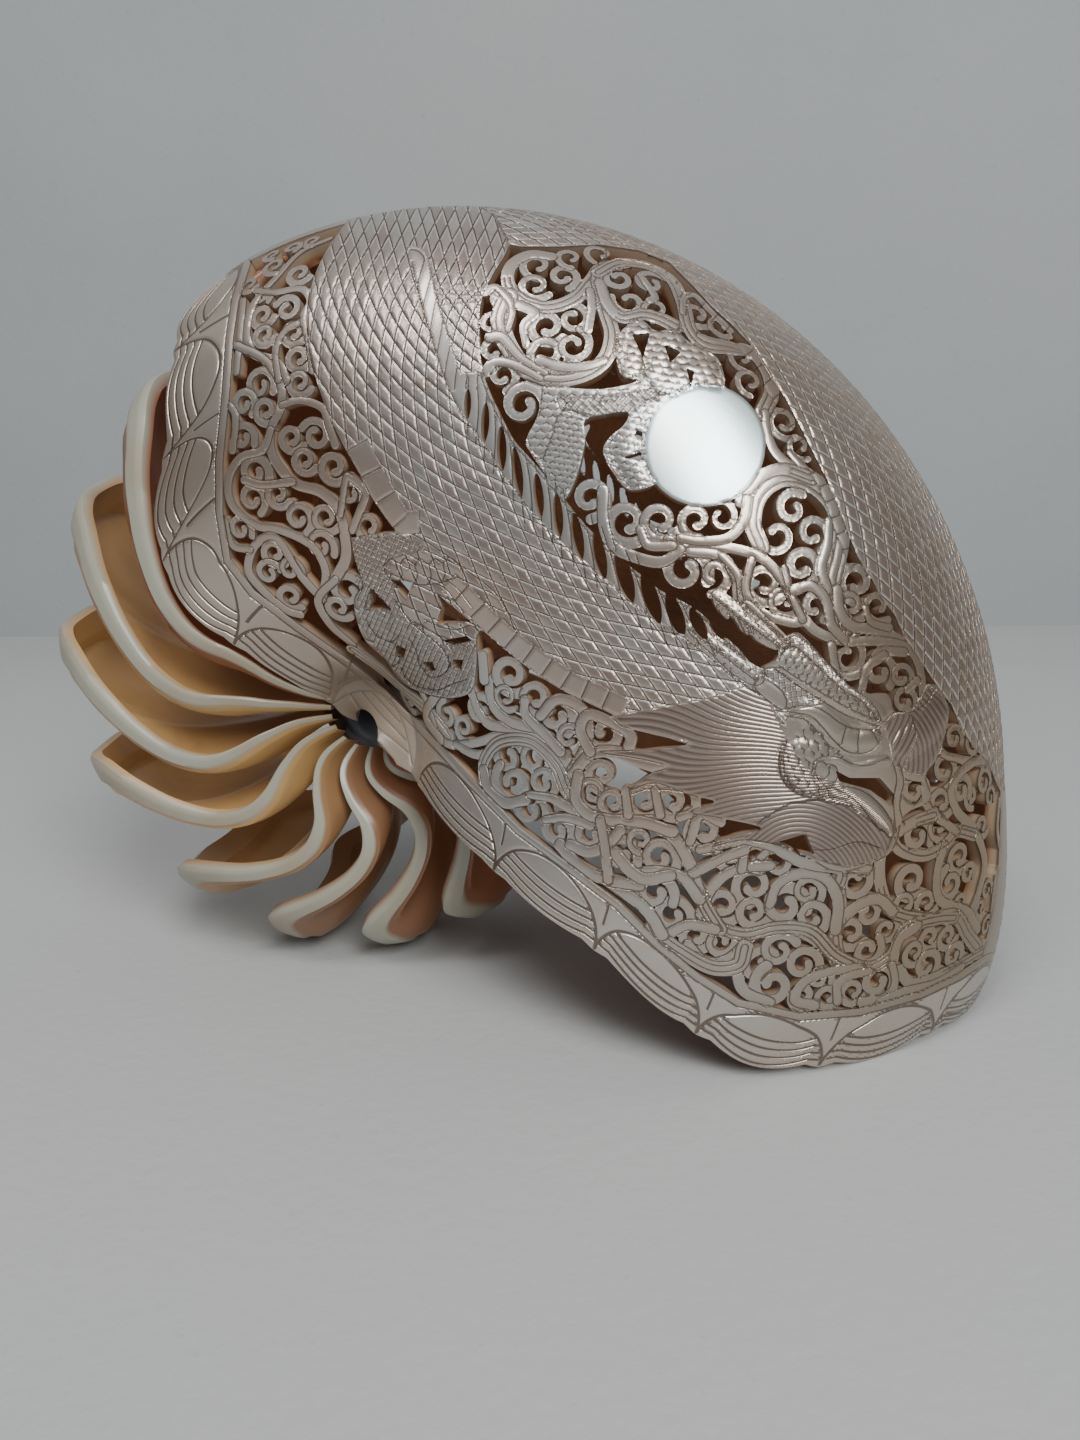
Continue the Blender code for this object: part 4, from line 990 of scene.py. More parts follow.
# two triangles a cell, cut where the field is 0; new points sit on the cut edges
def cutTriangles(field):
    m, n = field.shape
    index = np.arange(m * n).reshape(m, n)
    a, b, c, d = index[:-1, :-1], index[1:, :-1], index[1:, 1:], index[:-1, 1:]
    odd = (np.add.outer(np.arange(m - 1), np.arange(n - 1)) % 2).astype(bool)
    tri = np.concatenate([
        np.stack([a, b, c], -1)[~odd], np.stack([a, c, d], -1)[~odd],
        np.stack([a, b, d], -1)[odd], np.stack([b, c, d], -1)[odd]])
    f = field.ravel()
    inside = f > 0.0
    count = inside[tri].sum(1)
    whole = tri[count == 3]
    one, two = tri[count == 1], tri[count == 2]
    turn = inside[one].argmax(1)
    one = np.take_along_axis(one, (turn[:, None] + np.arange(3)) % 3, 1)
    turn = (~inside[two]).argmax(1)
    two = np.take_along_axis(two, (turn[:, None] + np.arange(3)) % 3, 1)
    pairs = np.concatenate([one[:, [0, 1]], one[:, [0, 2]], two[:, [0, 1]], two[:, [0, 2]]])
    pairs = np.sort(pairs, 1)
    keys, back = np.unique(pairs[:, 0].astype(np.int64) * (m * n) + pairs[:, 1], return_inverse=True)
    back = back.ravel()
    p, q = keys // (m * n), keys % (m * n)
    share = f[p] / (f[p] - f[q])
    new = m * n + back
    k1, k2 = len(one), len(two)
    o1, o2 = new[:k1], new[k1:2 * k1]
    t1, t2 = new[2 * k1:2 * k1 + k2], new[2 * k1 + k2:]
    faces = np.concatenate([
        whole, np.stack([one[:, 0], o1, o2], -1),
        np.stack([t1, two[:, 1], two[:, 2]], -1), np.stack([t1, two[:, 2], t2], -1)])
    return faces, p, q, share


# a closed plate from a cut grid: outer face, inner face and a wall along every free edge
def carvedPlate(name, grid, rows, side, values):
    part = slice(rows[0], rows[1] + 1)
    field = grid["field"][part]
    if not (field > 0.0).any():
        return None
    faces, p, q, share = cutTriangles(field)
    pick = {k: v[part].reshape(-1, *v.shape[2:]) for k, v in values.items()}

    def extend(data):
        w = share.reshape(-1, *([1] * (data.ndim - 1)))
        return np.concatenate([data, data[p] * (1.0 - w) + data[q] * w])

    pick = {k: extend(v) for k, v in pick.items()}
    used, back = np.unique(faces, return_inverse=True)
    faces = back.reshape(-1, 3)
    pick = {k: v[used] for k, v in pick.items()}
    count = len(used)
    ends = np.concatenate([faces[:, [0, 1]], faces[:, [1, 2]], faces[:, [2, 0]]])
    code = ends[:, 0].astype(np.int64) * count + ends[:, 1]
    mirror = ends[:, 1].astype(np.int64) * count + ends[:, 0]
    free = ends[~np.isin(code, mirror)]
    u, v = free[:, 0], free[:, 1]
    walls = np.concatenate([np.stack([v, u, u + count], -1), np.stack([v, u + count, v + count], -1)])
    inner = faces[:, ::-1] + count
    everything = np.concatenate([faces, inner, walls])
    points = np.concatenate([pick["outer"], pick["inner"]])
    corner = points[walls]
    edgeNormal = np.cross(corner[:, 1] - corner[:, 0], corner[:, 2] - corner[:, 0])
    edgeNormal /= np.linalg.norm(edgeNormal, axis=1, keepdims=True) + 1e-12
    normals = np.concatenate([pick["normal"][faces].reshape(-1, 3), -pick["under"][faces[:, ::-1]].reshape(-1, 3),
                              np.repeat(edgeNormal, 3, 0)])
    if side < 0:
        flip = np.array([1.0, -1.0, 1.0])
        points = points * flip
        everything = everything[:, ::-1]
        normals = (normals * flip).reshape(-1, 3, 3)[:, ::-1].reshape(-1, 3)
    marks = {"depth": np.concatenate([np.zeros(count), np.ones(count)])}
    for key in ("line", "near", "bold", "scaleRow", "scaleTurn", "scaleHere", "hairRow", "hairHere", "pearlHere"):
        marks[key] = np.concatenate([pick[key], pick[key]])
    return meshObject(name, points, everything.tolist(), normals, marks)


# one flank of the wall, carved, in strips with about as many triangles each: outer points lie under the
# polished surface by the relief, inner ones by the wall's thickness
def flank(step, side, label):
    grid = wallGrid(step)
    carve(grid, ornament, side < 0)
    loose = dropLoose(grid)
    sunk = relief(grid)
    outer = grid["points"] - grid["normal"] * sunk[..., None]
    inner = wallPoint(grid["angle"], grid["along"], np.full_like(grid["angle"], shell["wall"]))
    around = np.gradient(outer, axis=0)
    padded = np.concatenate([outer[:, 1:2] * np.array([1.0, -1.0, 1.0]), outer], 1)
    across = np.gradient(padded, axis=1)[:, 1:]
    normal = np.cross(around, across)
    normal /= np.linalg.norm(normal, axis=-1, keepdims=True)
    values = {"outer": outer, "inner": inner, "normal": normal, "under": grid["normal"],
              "near": np.abs(grid["line"]), "bold": 1.0 * grid["bold"]}
    for key in ("line", "scaleRow", "scaleTurn", "hairRow"):
        values[key] = grid[key]
    for key, field, fade in (("scaleHere", "scaled", "fade"), ("hairHere", "haired", "hairFade"),
                             ("pearlHere", "pearl", "fade")):
        values[key] = np.clip(grid[field] / engraving[fade], 0.0, 1.0)
    made = []
    total = np.cumsum((grid["field"] > 0.0).sum(1))
    pieces = max(1, int(math.ceil(total[-1] * bodyWall["trianglesPerPoint"] / bodyWall["mostTriangles"])))
    rows = [0] + [int(np.searchsorted(total, total[-1] * k / pieces)) for k in range(1, pieces)]
    rows.append(len(total) - 1)
    for k in range(pieces):
        thing = carvedPlate(label + "_" + str(k + 1), grid, (rows[k], rows[k + 1]), side, values)
        if thing:
            made.append(thing)
    print(label, "pieces", len(made), "triangles", [len(t.data.polygons) for t in made], "loose", loose)
    return made


# the fan: (angle, degrees the root lags, metres the tip reaches) of each blade, and how golden each one is
fan = {
    "blades": [(120.5, 22.0, 0.0055), (140.5, 15.0, 0.0045), (163.6, 6.5, 0.0045), (186.7, 0.5, 0.0030),
               (213.5, -5.0, 0.0), (236.5, -6.0, -0.0025), (261.0, -5.0, -0.0025), (285.0, -5.0, -0.0020)],
    "edge": [(0.0, 0.0), (0.16, 0.0005), (0.30, 0.0), (0.42, -0.0005), (0.52, 0.004), (0.61, 0.0115),
             (0.70, 0.0195), (0.79, 0.024), (0.88, 0.022), (0.97, 0.0125), (1.07, 0.0), (1.21, -0.005)],
    "tones": (0.26, 0.85, 1.0, 0.95, 0.65, 0.45, 0.36, 0.32), "lastTone": 0.3,
    "bevel": 0.00035, "bevelShare": 0.06, "closeAt": 0.03, "thickFrom": 0.45,
    "strip": 0.0062, "wall": 0.0013, "dish": 11.0, "drop": 0.08, "dropEnds": (0.08, 0.60), "end": 1.165,
    "tipEnds": (0.24, 0.52), "rootEnds": (0.86, 1.12), "dorsal": 0.16, "setback": 7.0,
    "columns": 176, "stripRows": 6, "dishRows": 40,
}


# the angle of a blade's free edge: its own angle, lagging at the root, plus a wave that the tip shortens
def bladeEdge(angle, lag, reach, along):
    size = keelRadius(angle)
    arc = through(fan["edge"], along) - reach * (1.0 - smoothStep(*fan["tipEnds"], np.abs(along)))
    return angle + lag * smoothStep(*fan["rootEnds"], np.abs(along)) + np.degrees(arc / size)


# a closed plate between two grids of points with the same rows and columns
def plate(name, outside, inside, values):
    m, n = outside.shape[:2]
    index = np.arange(m * n).reshape(m, n)
    a, b, c, d = index[:-1, :-1], index[1:, :-1], index[1:, 1:], index[:-1, 1:]
    quads = np.stack([a, b, c, d], -1).reshape(-1, 4)
    rim = np.concatenate([index[0, :-1], index[:-1, -1], index[-1, :0:-1], index[:0:-1, 0]])
    after = np.roll(rim, -1)
    sides = np.stack([rim, after, after + m * n, rim + m * n], -1)
    faces = np.concatenate([quads, quads[:, ::-1] + m * n, sides])
    points = np.concatenate([outside.reshape(-1, 3), inside.reshape(-1, 3)])
    p = points[faces]
    volume = (np.cross(p[:, 1] - p[:, 0], p[:, 2] - p[:, 0]) * p[:, 0]).sum()
    volume += (np.cross(p[:, 2] - p[:, 0], p[:, 3] - p[:, 0]) * p[:, 0]).sum()
    if volume < 0.0:
        faces = faces[:, ::-1]
    marks = {k: np.concatenate([v.ravel(), w.ravel()]) for k, (v, w) in values.items()}
    thing = meshObject(name, points, faces.tolist(), None, marks)
    thing.data.set_sharp_from_angle(angle=math.radians(40.0))
    return thing


# a chamber wall: a strip of outer wall, then a dish that sinks back and closes in on the dorsal line
def chamberWall(name, freeEdge, strip, tone):
    along = np.linspace(-fan["end"], fan["end"], fan["columns"] + 1)
    edge = freeEdge(along)
    middle = float(freeEdge(np.array([fan["dropEnds"][1]]))[0])
    size = keelRadius(middle)
    stripDegrees, wallDegrees = math.degrees(strip / size), math.degrees(fan["wall"] / size)
    radius = np.interp(np.abs(along), sectionAlong, sectionRadius)
    width = np.interp(np.abs(along), sectionAlong, sectionWidth) * np.sign(along)
    lowered = 1.0 - fan["drop"] * (1.0 - smoothStep(*fan["dropEnds"], np.abs(along))) * (strip > 0.0)
    inset = 0.0 if strip > 0.0 else 0.5 * shell["wall"]

    def ring(turn, share, depth):
        here = keelRadius(turn)
        closer = share * (1.0 - depth / (shell["sectionHalfWidth"] * here))
        r = fan["dorsal"] + (radius * lowered - fan["dorsal"]) * closer
        return place(turn, here * r, here * width * closer)

    back, front, onStrip, share = [], [], [], []
    if strip > 0.0:
        for t in np.linspace(0.0, 1.0, fan["stripRows"] + 1)[:-1]:
            bevel = fan["bevel"] * (math.exp(-t / fan["bevelShare"]) + math.exp(-(1.0 - t) / fan["bevelShare"]))
            back.append(ring(edge + stripDegrees * t, 1.0, bevel))
            front.append(ring(edge + (stripDegrees - wallDegrees) * t, 1.0, fan["wall"]))
            onStrip.append(1.0)
            share.append(1.0)
    for s in np.linspace(1.0, fan["closeAt"], fan["dishRows"]):
        turn = stripDegrees + edge * s + middle * (1.0 - s) + fan["dish"] * math.sin(math.pi * (1.0 - s)) ** 0.7
        back.append(ring(turn, s, (inset + fan["bevel"] * (strip > 0.0)) * (s == 1.0)))
        front.append(ring(turn - wallDegrees / max(s, fan["thickFrom"]), s, (inset + fan["wall"]) * (s == 1.0)))
        onStrip.append(0.0)
        share.append(s)
    back, front = np.array(back), np.array(front)
    ones = np.ones(back.shape[:2])
    onStrip, share = np.array(onStrip)[:, None] * ones, np.array(share)[:, None] * ones
    values = {"strip": (onStrip, 0.0 * ones), "share": (share, share), "tone": (tone * ones, tone * ones)}
    return plate(name, back, front, values)


# the innermost turns, as shares of the keel radius and angles in degrees
hub = {"centre": 0.108, "halfDepth": 0.098, "halfWidth": 0.165, "angles": (-29.0, 322.0), "rows": 240, "columns": 48}


# the innermost turns: a tapering tube wound once about the coil axis, closed at both ends
def innerTurns():
    angle = np.linspace(*hub["angles"], hub["rows"])[:, None]
    turn = np.linspace(0.0, 2.0 * math.pi, hub["columns"] + 1)[None, :-1]
    size = keelRadius(angle)
    rings = place(angle + 0.0 * turn, size * (hub["centre"] + hub["halfDepth"] * np.cos(turn)),
                  size * hub["halfWidth"] * np.sin(turn))
    m, n = rings.shape[:2]
    index = np.arange(m * n).reshape(m, n)
    nextOne = np.roll(index, -1, 1)
    quads = np.stack([index[:-1], nextOne[:-1], nextOne[1:], index[1:]], -1).reshape(-1, 4)
    points = np.concatenate([rings.reshape(-1, 3), rings[:1].mean(1), rings[-1:].mean(1)])
    first = np.stack([nextOne[0], index[0], np.full(n, m * n)], -1)
    last = np.stack([index[-1], nextOne[-1], np.full(n, m * n + 1)], -1)
    thing = meshObject("inner_turns", points, quads.tolist() + first.tolist() + last.tolist())
    p = points[quads]
    volume = (np.cross(p[:, 1] - p[:, 0], p[:, 2] - p[:, 0]) * (p[:, 0] - points.mean(0))).sum()
    if volume < 0.0:
        thing.data.flip_normals()
    return thing


# a socket that can be added, multiplied and compared like a number
class Wire:
    def __init__(self, sheet, socket):
        self.sheet, self.socket = sheet, socket

    def maths(self, kind, *values):
        return self.sheet.node("ShaderNodeMath", {"operation": kind}, dict(enumerate(values)))

    def __add__(self, other):
        return self.maths("ADD", self, other)

    def __sub__(self, other):
        return self.maths("SUBTRACT", self, other)

    def __mul__(self, other):
        return self.maths("MULTIPLY", self, other)

    def __pow__(self, other):
        return self.maths("POWER", self, other)

    def __radd__(self, other):
        return self.maths("ADD", other, self)

    def __rsub__(self, other):
        return self.maths("SUBTRACT", other, self)

    def __rmul__(self, other):
        return self.maths("MULTIPLY", other, self)

    def least(self, other):
        return self.maths("MINIMUM", self, other)

    def most(self, other):
        return self.maths("MAXIMUM", self, other)

    def sine(self):
        return self.maths("SINE", self)

    def away(self):
        return self.maths("ABSOLUTE", self)

    def fraction(self):
        return self.maths("FRACT", self)

    def whole(self):
        return self.maths("FLOOR", self)

    # from 0 at one value to 1 at another, held at both ends
    def between(self, low, high):
        return self.sheet.node("ShaderNodeMapRange", {"interpolation_type": "SMOOTHSTEP"},
                               {0: self, 1: low, 2: high, 3: 0.0, 4: 1.0})


# a material, its nodes and its shader
class Sheet:
    def __init__(self, name, coat=0.0):
        self.material = bpy.data.materials.new(name)
        self.material.use_nodes = True
        self.tree = self.material.node_tree
        self.shader = next(n for n in self.tree.nodes if n.type == "BSDF_PRINCIPLED")
        self.shader.inputs["Coat Weight"].default_value = coat
        self.shader.inputs["Coat Roughness"].default_value = 0.12
        self.coords = self.node("ShaderNodeTexCoord", {}, {}, "Object")

    # any node: its settings first, then its inputs by number or name
    def node(self, kind, settings, inputs, output=0):
        made = self.tree.nodes.new(kind)
        for key, value in settings.items():
            setattr(made, key, value)
        for key, value in inputs.items():
            self.feed(made.inputs[key], value)
        return Wire(self, made.outputs[output])

    def feed(self, socket, value):
        if isinstance(value, Wire):
            self.tree.links.new(value.socket, socket)
        else:
            socket.default_value = value

    # a value that the mesh carries at its points
    def mark(self, name):
        return self.node("ShaderNodeAttribute", {"attribute_name": name}, {}, "Fac")

    def noise(self, scale, detail=3.0, rough=0.5, where=None):
        return self.node("ShaderNodeTexNoise", {}, {"Vector": where or self.coords, "Scale": scale,
                                                    "Detail": detail, "Roughness": rough}, "Fac")

    def stretched(self, x, y, z):
        return self.node("ShaderNodeVectorMath", {"operation": "MULTIPLY"}, {0: self.coords, 1: (x, y, z)})

    # metres from the coil axis
    def fromAxis(self):
        away = self.node("ShaderNodeVectorMath", {"operation": "SUBTRACT"},
                         {0: self.coords, 1: (shell["axisX"], 0.0, shell["axisZ"])})
        away = self.node("ShaderNodeVectorMath", {"operation": "MULTIPLY"}, {0: away, 1: (1.0, 0.0, 1.0)})
        return self.node("ShaderNodeVectorMath", {"operation": "LENGTH"}, {0: away}, "Value")

    # from colour a to colour b by a share
    def blend(self, share, a, b):
        made = self.tree.nodes.new("ShaderNodeMix")
        made.data_type = "RGBA"
        self.feed(made.inputs["Factor"], share)
        for socket, value in ((made.inputs[6], a), (made.inputs[7], b)):
            self.feed(socket, value if isinstance(value, Wire) else (*value, 1.0))
        return Wire(self, made.outputs[2])

    # a bump of a height, in metres, on a colour and a roughness
    def finish(self, colour, roughness, height, metres, strength):
        bump = self.node("ShaderNodeBump", {}, {"Height": height, "Distance": metres, "Strength": strength})
        for key, value in (("Base Color", colour), ("Roughness", roughness), ("Normal", bump)):
            self.feed(self.shader.inputs[key], value)
        return self.material


# colours of the shell, and widths in metres of what is drawn on it
look = {
    "nacre": (0.49, 0.380, 0.320), "nacreCool": (0.51, 0.50, 0.485), "nacreWarm": (0.37, 0.25, 0.165),
    # root is painted shade near the coil axis, within rootEnds of it
    # the olive tone is painted shade, for the right side and the bottom that are turned from the light
    "paintedOliveShade": (0.27, 0.195, 0.125), "root": (0.25, 0.19, 0.145), "border": (0.62, 0.54, 0.47),
    # edge is a painted highlight on the rims of the scales
    "line": (0.09, 0.052, 0.030), "scale": (0.29, 0.215, 0.190), "edge": (0.80, 0.77, 0.73),
    "pearl": (0.60, 0.70, 0.71), "pearlShade": (0.56, 0.56, 0.57),
    "cut": (0.36, 0.25, 0.17), "inside": (0.34, 0.155, 0.072), "insideDeep": (0.19, 0.082, 0.040),
    "strip": (0.37, 0.36, 0.295), "stripWarm": (0.34, 0.275, 0.20), "gold": (0.50, 0.295, 0.115),
    "brown": (0.20, 0.098, 0.050), "deep": (0.24, 0.055, 0.020),
    # hollow is painted shadow at the umbilicus, partly the shell's black film; hollowRim is the painted shade of its
    # lighter slanting side
    "hollow": (0.012, 0.014, 0.022), "hollowRim": (0.34, 0.38, 0.43), "black": (0.0, 0.0, 0.0),
    # glow is painted light that lightens the shaded inside of the carved wall
    # paintedGlowFan is painted light on the dishes of the chamber walls
    "paintedGlow": 0.09, "paintedGlowFan": 0.11, "metal": 0.75, "rootEnds": (0.0135, 0.0085), "hollowEnds": (0.0085, 0.0120),
    "grooveInner": 0.00003, "grooveOuter": 0.00012, "boldInner": 0.00004, "boldOuter": 0.00010, "slack": 0.00016,
}


# the carved wall: clouded nacre with streaks, warmer and darker to the left, and a painted olive shade to the
# right and at the bottom; scales as a lattice with a rim, a painted highlight at one corner and a random tone
# each, the tone partly painted reflection; hair as sine waves; lines by their distance; brown inside with a
# painted glow; a painted shade near the coil axis
def carvedMaterial():
    s = Sheet("carved nacre", 0.10)
    depth, gap, near, bold = s.mark("depth"), s.mark("line"), s.mark("near"), s.mark("bold")
    scaleHere, hairHere, pearlHere = s.mark("scaleHere"), s.mark("hairHere"), s.mark("pearlHere")
    row, turn, hair = s.mark("scaleRow"), s.mark("scaleTurn"), s.mark("hairRow")
    cloud = s.noise(38.0, 4.0)
    streak = s.noise(1.0, 4.0, 0.6, s.stretched(60.0, 900.0, 240.0))
    x, z = (s.node("ShaderNodeSeparateXYZ", {}, {0: s.coords}, k) for k in "XZ")
    colour = s.blend(cloud.between(0.35, 0.70), look["nacre"], look["nacreCool"])
    colour = s.blend(streak.between(0.45, 0.80) * 0.35, colour, look["nacreWarm"])
    colour = s.blend(x.between(-0.010, -0.050) * 0.55, colour, look["nacreWarm"])
    # painted shade: olive darkening towards the right (+x) and the bottom (low z), where the shell is turned from the
    # light; less on the border band
    shade = (x.between(0.015, 0.090) * 0.80 + z.between(0.080, 0.020) * 0.20) * (1.0 - 0.6 * bold)
    colour = s.blend(shade, colour, look["paintedOliveShade"])
    colour = s.blend(bold * 0.35, colour, look["border"])
    colour = s.blend(pearlHere, colour, s.blend(cloud.between(0.45, 0.75), look["pearl"], look["pearlShade"]))

    parts = [w.fraction() for w in (row, turn)]
    rims = [0.5 - (p - 0.5).away() for p in parts]
    lattice = rims[0].least(rims[1]).between(0.012, 0.070)
    ids = s.node("ShaderNodeCombineXYZ", {}, {0: row.whole(), 1: turn.whole()})
    chance = s.node("ShaderNodeTexWhiteNoise", {"noise_dimensions": "3D"}, {"Vector": ids})
    # a random darker tone on each scale: partly the scales' own tone, partly painted reflection, as scales catch the
    # light differently
    colour = s.blend(chance * scaleHere * 0.75, colour, look["scale"])
    colour = s.blend((1.0 - lattice) * scaleHere * 0.85, colour, look["line"])
    # painted highlight: a pale colour along two sides of each scale, where light would glint
    glint = parts[0].least(parts[1]).between(0.24, 0.08) * lattice
    colour = s.blend(glint * scaleHere * (0.45 + 0.45 * chance), colour, look["edge"])
    slope = (parts[0] + parts[1]) * 0.5 + (parts[0] - parts[1]) * (chance - 0.5) * 1.3
    strands = (hair * (2.0 * math.pi)).sine() * 0.5 + 0.5
    colour = s.blend(hairHere * 0.60, colour, look["scale"])
    colour = s.blend((1.0 - strands) ** 2.0 * hairHere * 0.6, colour, look["line"])
    groove = 1.0 - gap.away().most(near - look["slack"]).between(
        look["grooveInner"] + bold * look["boldInner"], look["grooveOuter"] + bold * look["boldOuter"])
    colour = s.blend(groove * (0.68 + 0.10 * bold), colour, look["line"])

    inner = s.blend(s.noise(60.0, 3.0).between(0.3, 0.7), look["inside"], look["insideDeep"])
    colour = s.blend(depth.between(0.08, 0.35), colour, s.blend(depth.between(0.55, 0.95), look["cut"], inner))
    # painted shade: near the coil axis, at the umbilicus, the nacre turns a dull brown; it is also made less metallic
    # there
    paintedShadeNearAxis = s.fromAxis().between(*look["rootEnds"])
    colour = s.blend(paintedShadeNearAxis, colour, look["root"])
    height = (lattice + slope * 1.2) * scaleHere + strands * hairHere * 0.6 + (1.0 - groove)
    height = height + s.noise(900.0, 2.0) * 0.04
    rough = 0.21 + 0.12 * cloud + 0.08 * chance * scaleHere + 0.3 * depth
    s.feed(s.shader.inputs["Metallic"], look["metal"] * (1.0 - depth.between(0.05, 0.3)) * (1.0 - paintedShadeNearAxis))
    # painted light: the brown inner surface glows a little, lightening the shaded inside seen through the openings
    s.shader.inputs["Emission Strength"].default_value = look["paintedGlow"]
    s.feed(s.shader.inputs["Emission Color"], s.blend(depth.between(0.5, 0.95), look["black"], inner))
    return s.finish(colour, rough, height, 0.00014, 0.8)


# the chamber walls: brown to gold by each wall's tone and the share from its root, with a pale strip; the
# dishes glow a little, a painted light
def fanMaterial():
    s = Sheet("chamber walls", 0.15)
    strip, share, tone = s.mark("strip"), s.mark("share"), s.mark("tone")
    cloud = s.noise(45.0, 4.0)
    lines = s.noise(1.0, 4.0, 0.65, s.stretched(90.0, 90.0, 90.0))
    inside = s.blend(tone.between(0.1, 0.45), look["deep"], look["brown"])
    golden = tone.between(0.4, 1.0) * cloud.between(0.15, 0.6) * share.between(0.30, 0.80)
    inside = s.blend(golden, inside, look["gold"])
    inside = s.blend(s.noise(14.0, 3.0).between(0.45, 0.75) * 0.5, inside, look["brown"])
    outside = s.blend(cloud.between(0.3, 0.7), look["strip"], look["stripWarm"])
    colour = s.blend(strip, inside, outside)
    # painted light: the brown and gold dishes glow a little, though they are no lamp
    s.shader.inputs["Emission Strength"].default_value = look["paintedGlowFan"]
    s.feed(s.shader.inputs["Emission Color"], s.blend(strip, inside, look["black"]))
    return s.finish(colour, 0.30 + 0.2 * cloud, lines, 0.0002, 0.3)


# the innermost turns: brown, and at the axis a near-black painted shadow, partly the shell's own black film,
# that lightens to a painted bluish-grey shade on one slanting side
def hubMaterial():
    s = Sheet("innermost turns", 0.2)
    cloud = s.noise(70.0, 4.0)
    axis = s.fromAxis()
    x, z = (s.node("ShaderNodeSeparateXYZ", {}, {0: s.coords}, k) for k in "XZ")
    # painted shade: a slant through the coil axis sets which side of the hollow is lighter
    slant = (x - shell["axisX"]) - (z - shell["axisZ"]) + (cloud - 0.5) * 0.008
    hollow = s.blend(slant.between(-0.003, 0.009), look["hollow"], look["hollowRim"])
    colour = s.blend(axis.between(*look["hollowEnds"]), hollow, look["brown"])
    return s.finish(colour, 0.25 + 0.2 * cloud, cloud, 0.0003, 0.3)


# floor and backdrop: clouded, with faint dark specks
def stageMaterial(name, colour, warm):
    s = Sheet(name)
    cloud = s.noise(5.0, 5.0, 0.6)
    fine = s.noise(420.0, 3.0)
    tint = s.blend(cloud.between(0.3, 0.75), colour, warm)
    tint = s.blend(fine.between(0.66, 0.80) * 0.25, tint, tuple(0.6 * c for c in colour))
    return s.finish(tint, 0.7 + 0.2 * fine, fine, 0.0005, 0.3)


print("coil ready")
ornament = ornamentBands()
print("bands", len(ornament))
nearPieces = flank(bodyWall["nearStep"], 1, "carved_wall_near")
farPieces = flank(bodyWall["farStep"], -1, "carved_wall_far")
carved = carvedMaterial()
for piece in nearPieces + farPieces:
    piece.data.materials.append(carved)

fanLook = fanMaterial()
for number, ((angle, lag, reach), tone) in enumerate(zip(fan["blades"], fan["tones"])):
    blade = chamberWall("blade_" + str(number + 1), lambda v, a=angle, g=lag, r=reach: bladeEdge(a, g, r, v),
                        fan["strip"], tone)
    blade.data.materials.append(fanLook)
lastWall = chamberWall("last_chamber_wall", lambda v: through(bodyWall["backEdge"], v) - fan["setback"], 0.0,
                       fan["lastTone"])
lastWall.data.materials.append(fanLook)
turns = innerTurns()
turns.data.materials.append(hubMaterial())
print("fan ready")


# the stage: the line where the floor meets the backdrop, seen from above; colours, the second one in clouds
stageSet = {
    "wallLeft": (-0.21300, 0.30073), "wallRight": (0.15022, 0.33745), "reach": 6.0, "front": -3.0, "height": 2.4,
    "floor": ((0.45, 0.455, 0.455), (0.48, 0.475, 0.47)), "wall": ((0.36, 0.37, 0.385), (0.395, 0.40, 0.405)),
    "roomLight": (0.80, 0.82, 0.85, 1.0), "roomStrength": 0.12,
}
# lights that are mirrored in the wall at a place in the picture: name, place, metres away, size, watts, colour
glints = [
    ("window", pearl["centre"], 1.1, (0.42, 0.55), 12.0, (0.95, 1.0, 0.985)),
    ("skylight", (452, 300), 1.2, (0.40, 0.40), 4.8, (0.97, 0.985, 1.0)),
]
# soft lights: name, place, target, size, watts, colour
softLights = [
    ("room", (-0.6, -1.2, 1.3), (0.0, 0.0, 0.05), (1.6, 1.2), 1.6, (0.97, 0.985, 1.0)),
    ("ceiling", (-0.35, -0.25, 1.6), (0.0, 0.0, 0.0), (2.2, 2.2), 6.0, (1.0, 0.99, 0.97)),
]


# a sheet of the stage through four corners
def flatSheet(name, corners, material):
    mesh = bpy.data.meshes.new(name)
    mesh.from_pydata(corners, [], [(0, 1, 2, 3)])
    mesh.materials.append(material)
    thing = bpy.data.objects.new(name, mesh)
    bpy.context.scene.collection.objects.link(thing)


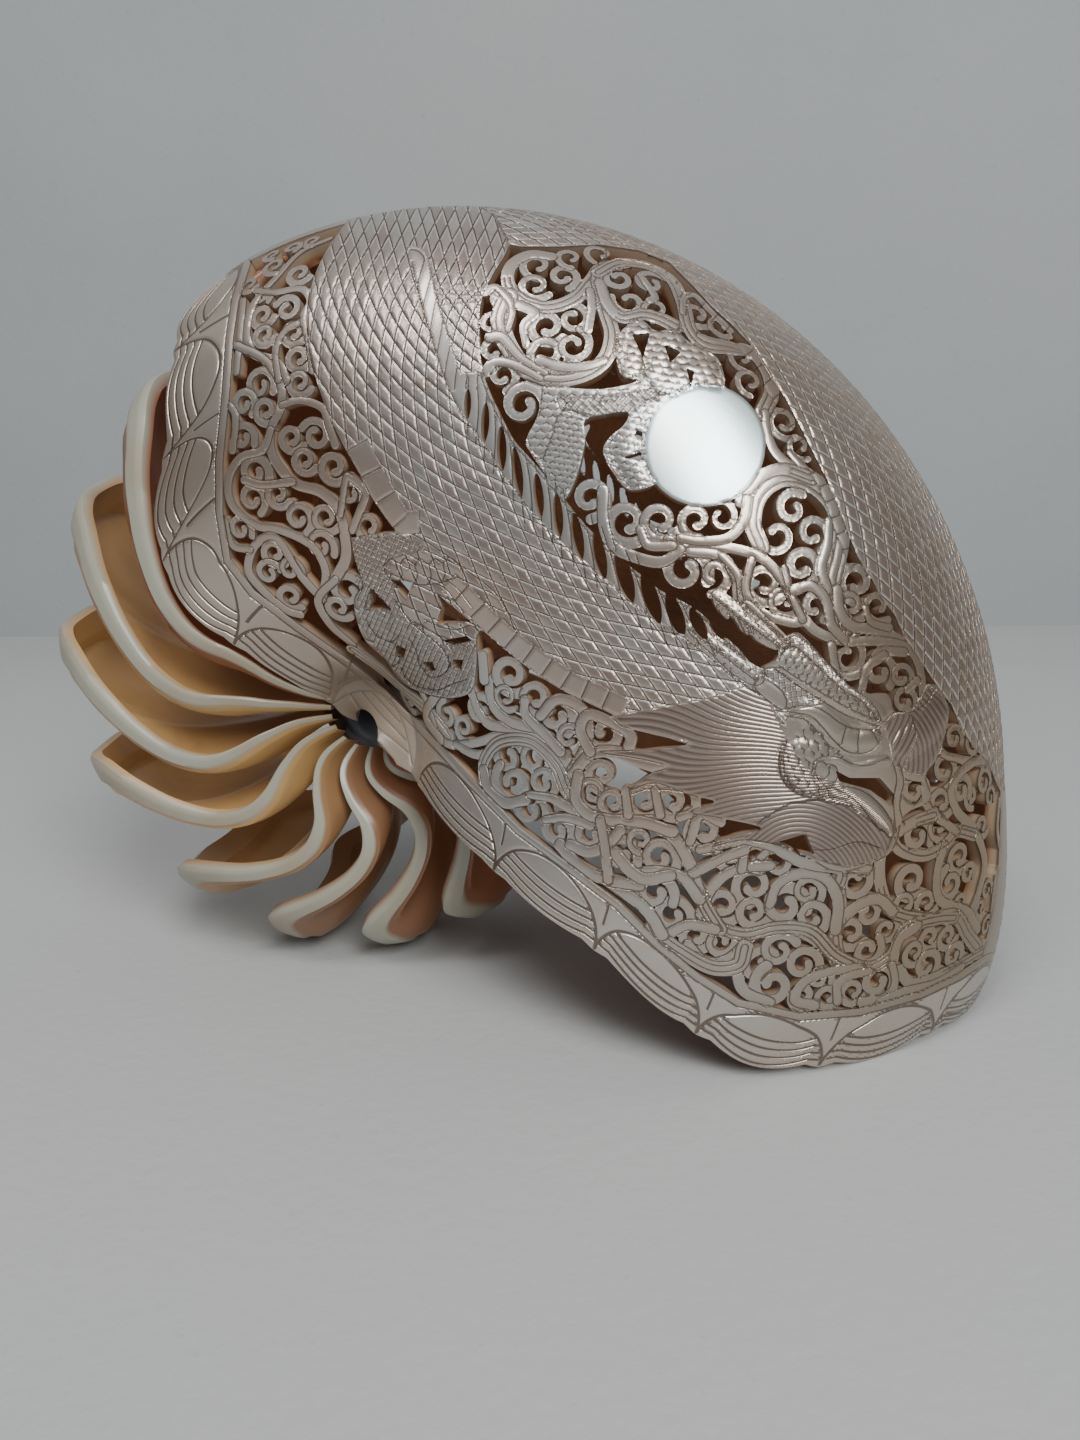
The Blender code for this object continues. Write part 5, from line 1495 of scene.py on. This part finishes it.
(ax, ay), (bx, by) = stageSet["wallLeft"], stageSet["wallRight"]
reach = stageSet["reach"]
left = (ax - reach * (bx - ax), ay - reach * (by - ay))
right = (bx + reach * (bx - ax), by + reach * (by - ay))
front, height = stageSet["front"], stageSet["height"]
flatSheet("floor", [(left[0], front, 0.0), (right[0], front, 0.0), (*right, 0.0), (*left, 0.0)],
          stageMaterial("floor", *stageSet["floor"]))
flatSheet("backdrop", [(*left, 0.0), (*right, 0.0), (*right, height), (*left, height)],
          stageMaterial("wall", *stageSet["wall"]))


# a frame from three directions and a place
def turned(side, up, back, spot):
    m = np.eye(4)
    m[:3, 0], m[:3, 1], m[:3, 2], m[:3, 3] = side, up, back, spot
    return Matrix(m.tolist())


# a rectangular light that looks from a spot to a target, level
def softLight(name, spot, target, size, watts, colour):
    data = bpy.data.lights.new(name, "AREA")
    data.shape = "RECTANGLE"
    data.size, data.size_y = size
    data.energy = watts
    data.color = colour
    back = np.array(spot, float) - np.array(target, float)
    back /= np.linalg.norm(back)
    side = np.cross((0.0, 0.0, 1.0), back)
    side /= np.linalg.norm(side)
    thing = bpy.data.objects.new(name, data)
    thing.matrix_world = turned(side, np.cross(back, side), back, spot)
    bpy.context.scene.collection.objects.link(thing)


# a glint falls where the light stands along the view mirrored in the wall: 2 (n.v) n - v
def glintLight(name, where, away, size, watts, colour):
    a, v = drop([where])
    spot, normal = wallPoint(a, v)[0], outward(a, v)[0]
    toView = (viewPlace - spot) / np.linalg.norm(viewPlace - spot)
    softLight(name, spot + (2.0 * (normal @ toView) * normal - toView) * away, spot, size, watts, colour)


for row in glints:
    glintLight(*row)
for row in softLights:
    softLight(*row)

world = bpy.data.worlds.new("room light")
bpy.context.scene.world = world
world.use_nodes = True
background = next(n for n in world.node_tree.nodes if n.type == "BACKGROUND")
background.inputs["Color"].default_value = stageSet["roomLight"]
background.inputs["Strength"].default_value = stageSet["roomStrength"]

camera = bpy.data.cameras.new("view")
camera.sensor_fit = "VERTICAL"
camera.sensor_height = camera.sensor_width = lens["sensor"]
camera.lens = lens["focal"] / lens["pictureHeight"] * lens["sensor"]
camera.clip_start, camera.clip_end = 0.01, 20.0
viewer = bpy.data.objects.new("view", camera)
viewer.matrix_world = turned(viewRight, viewUp, viewBack, viewPlace)
bpy.context.scene.collection.objects.link(viewer)
bpy.context.scene.camera = viewer
print("stage ready")
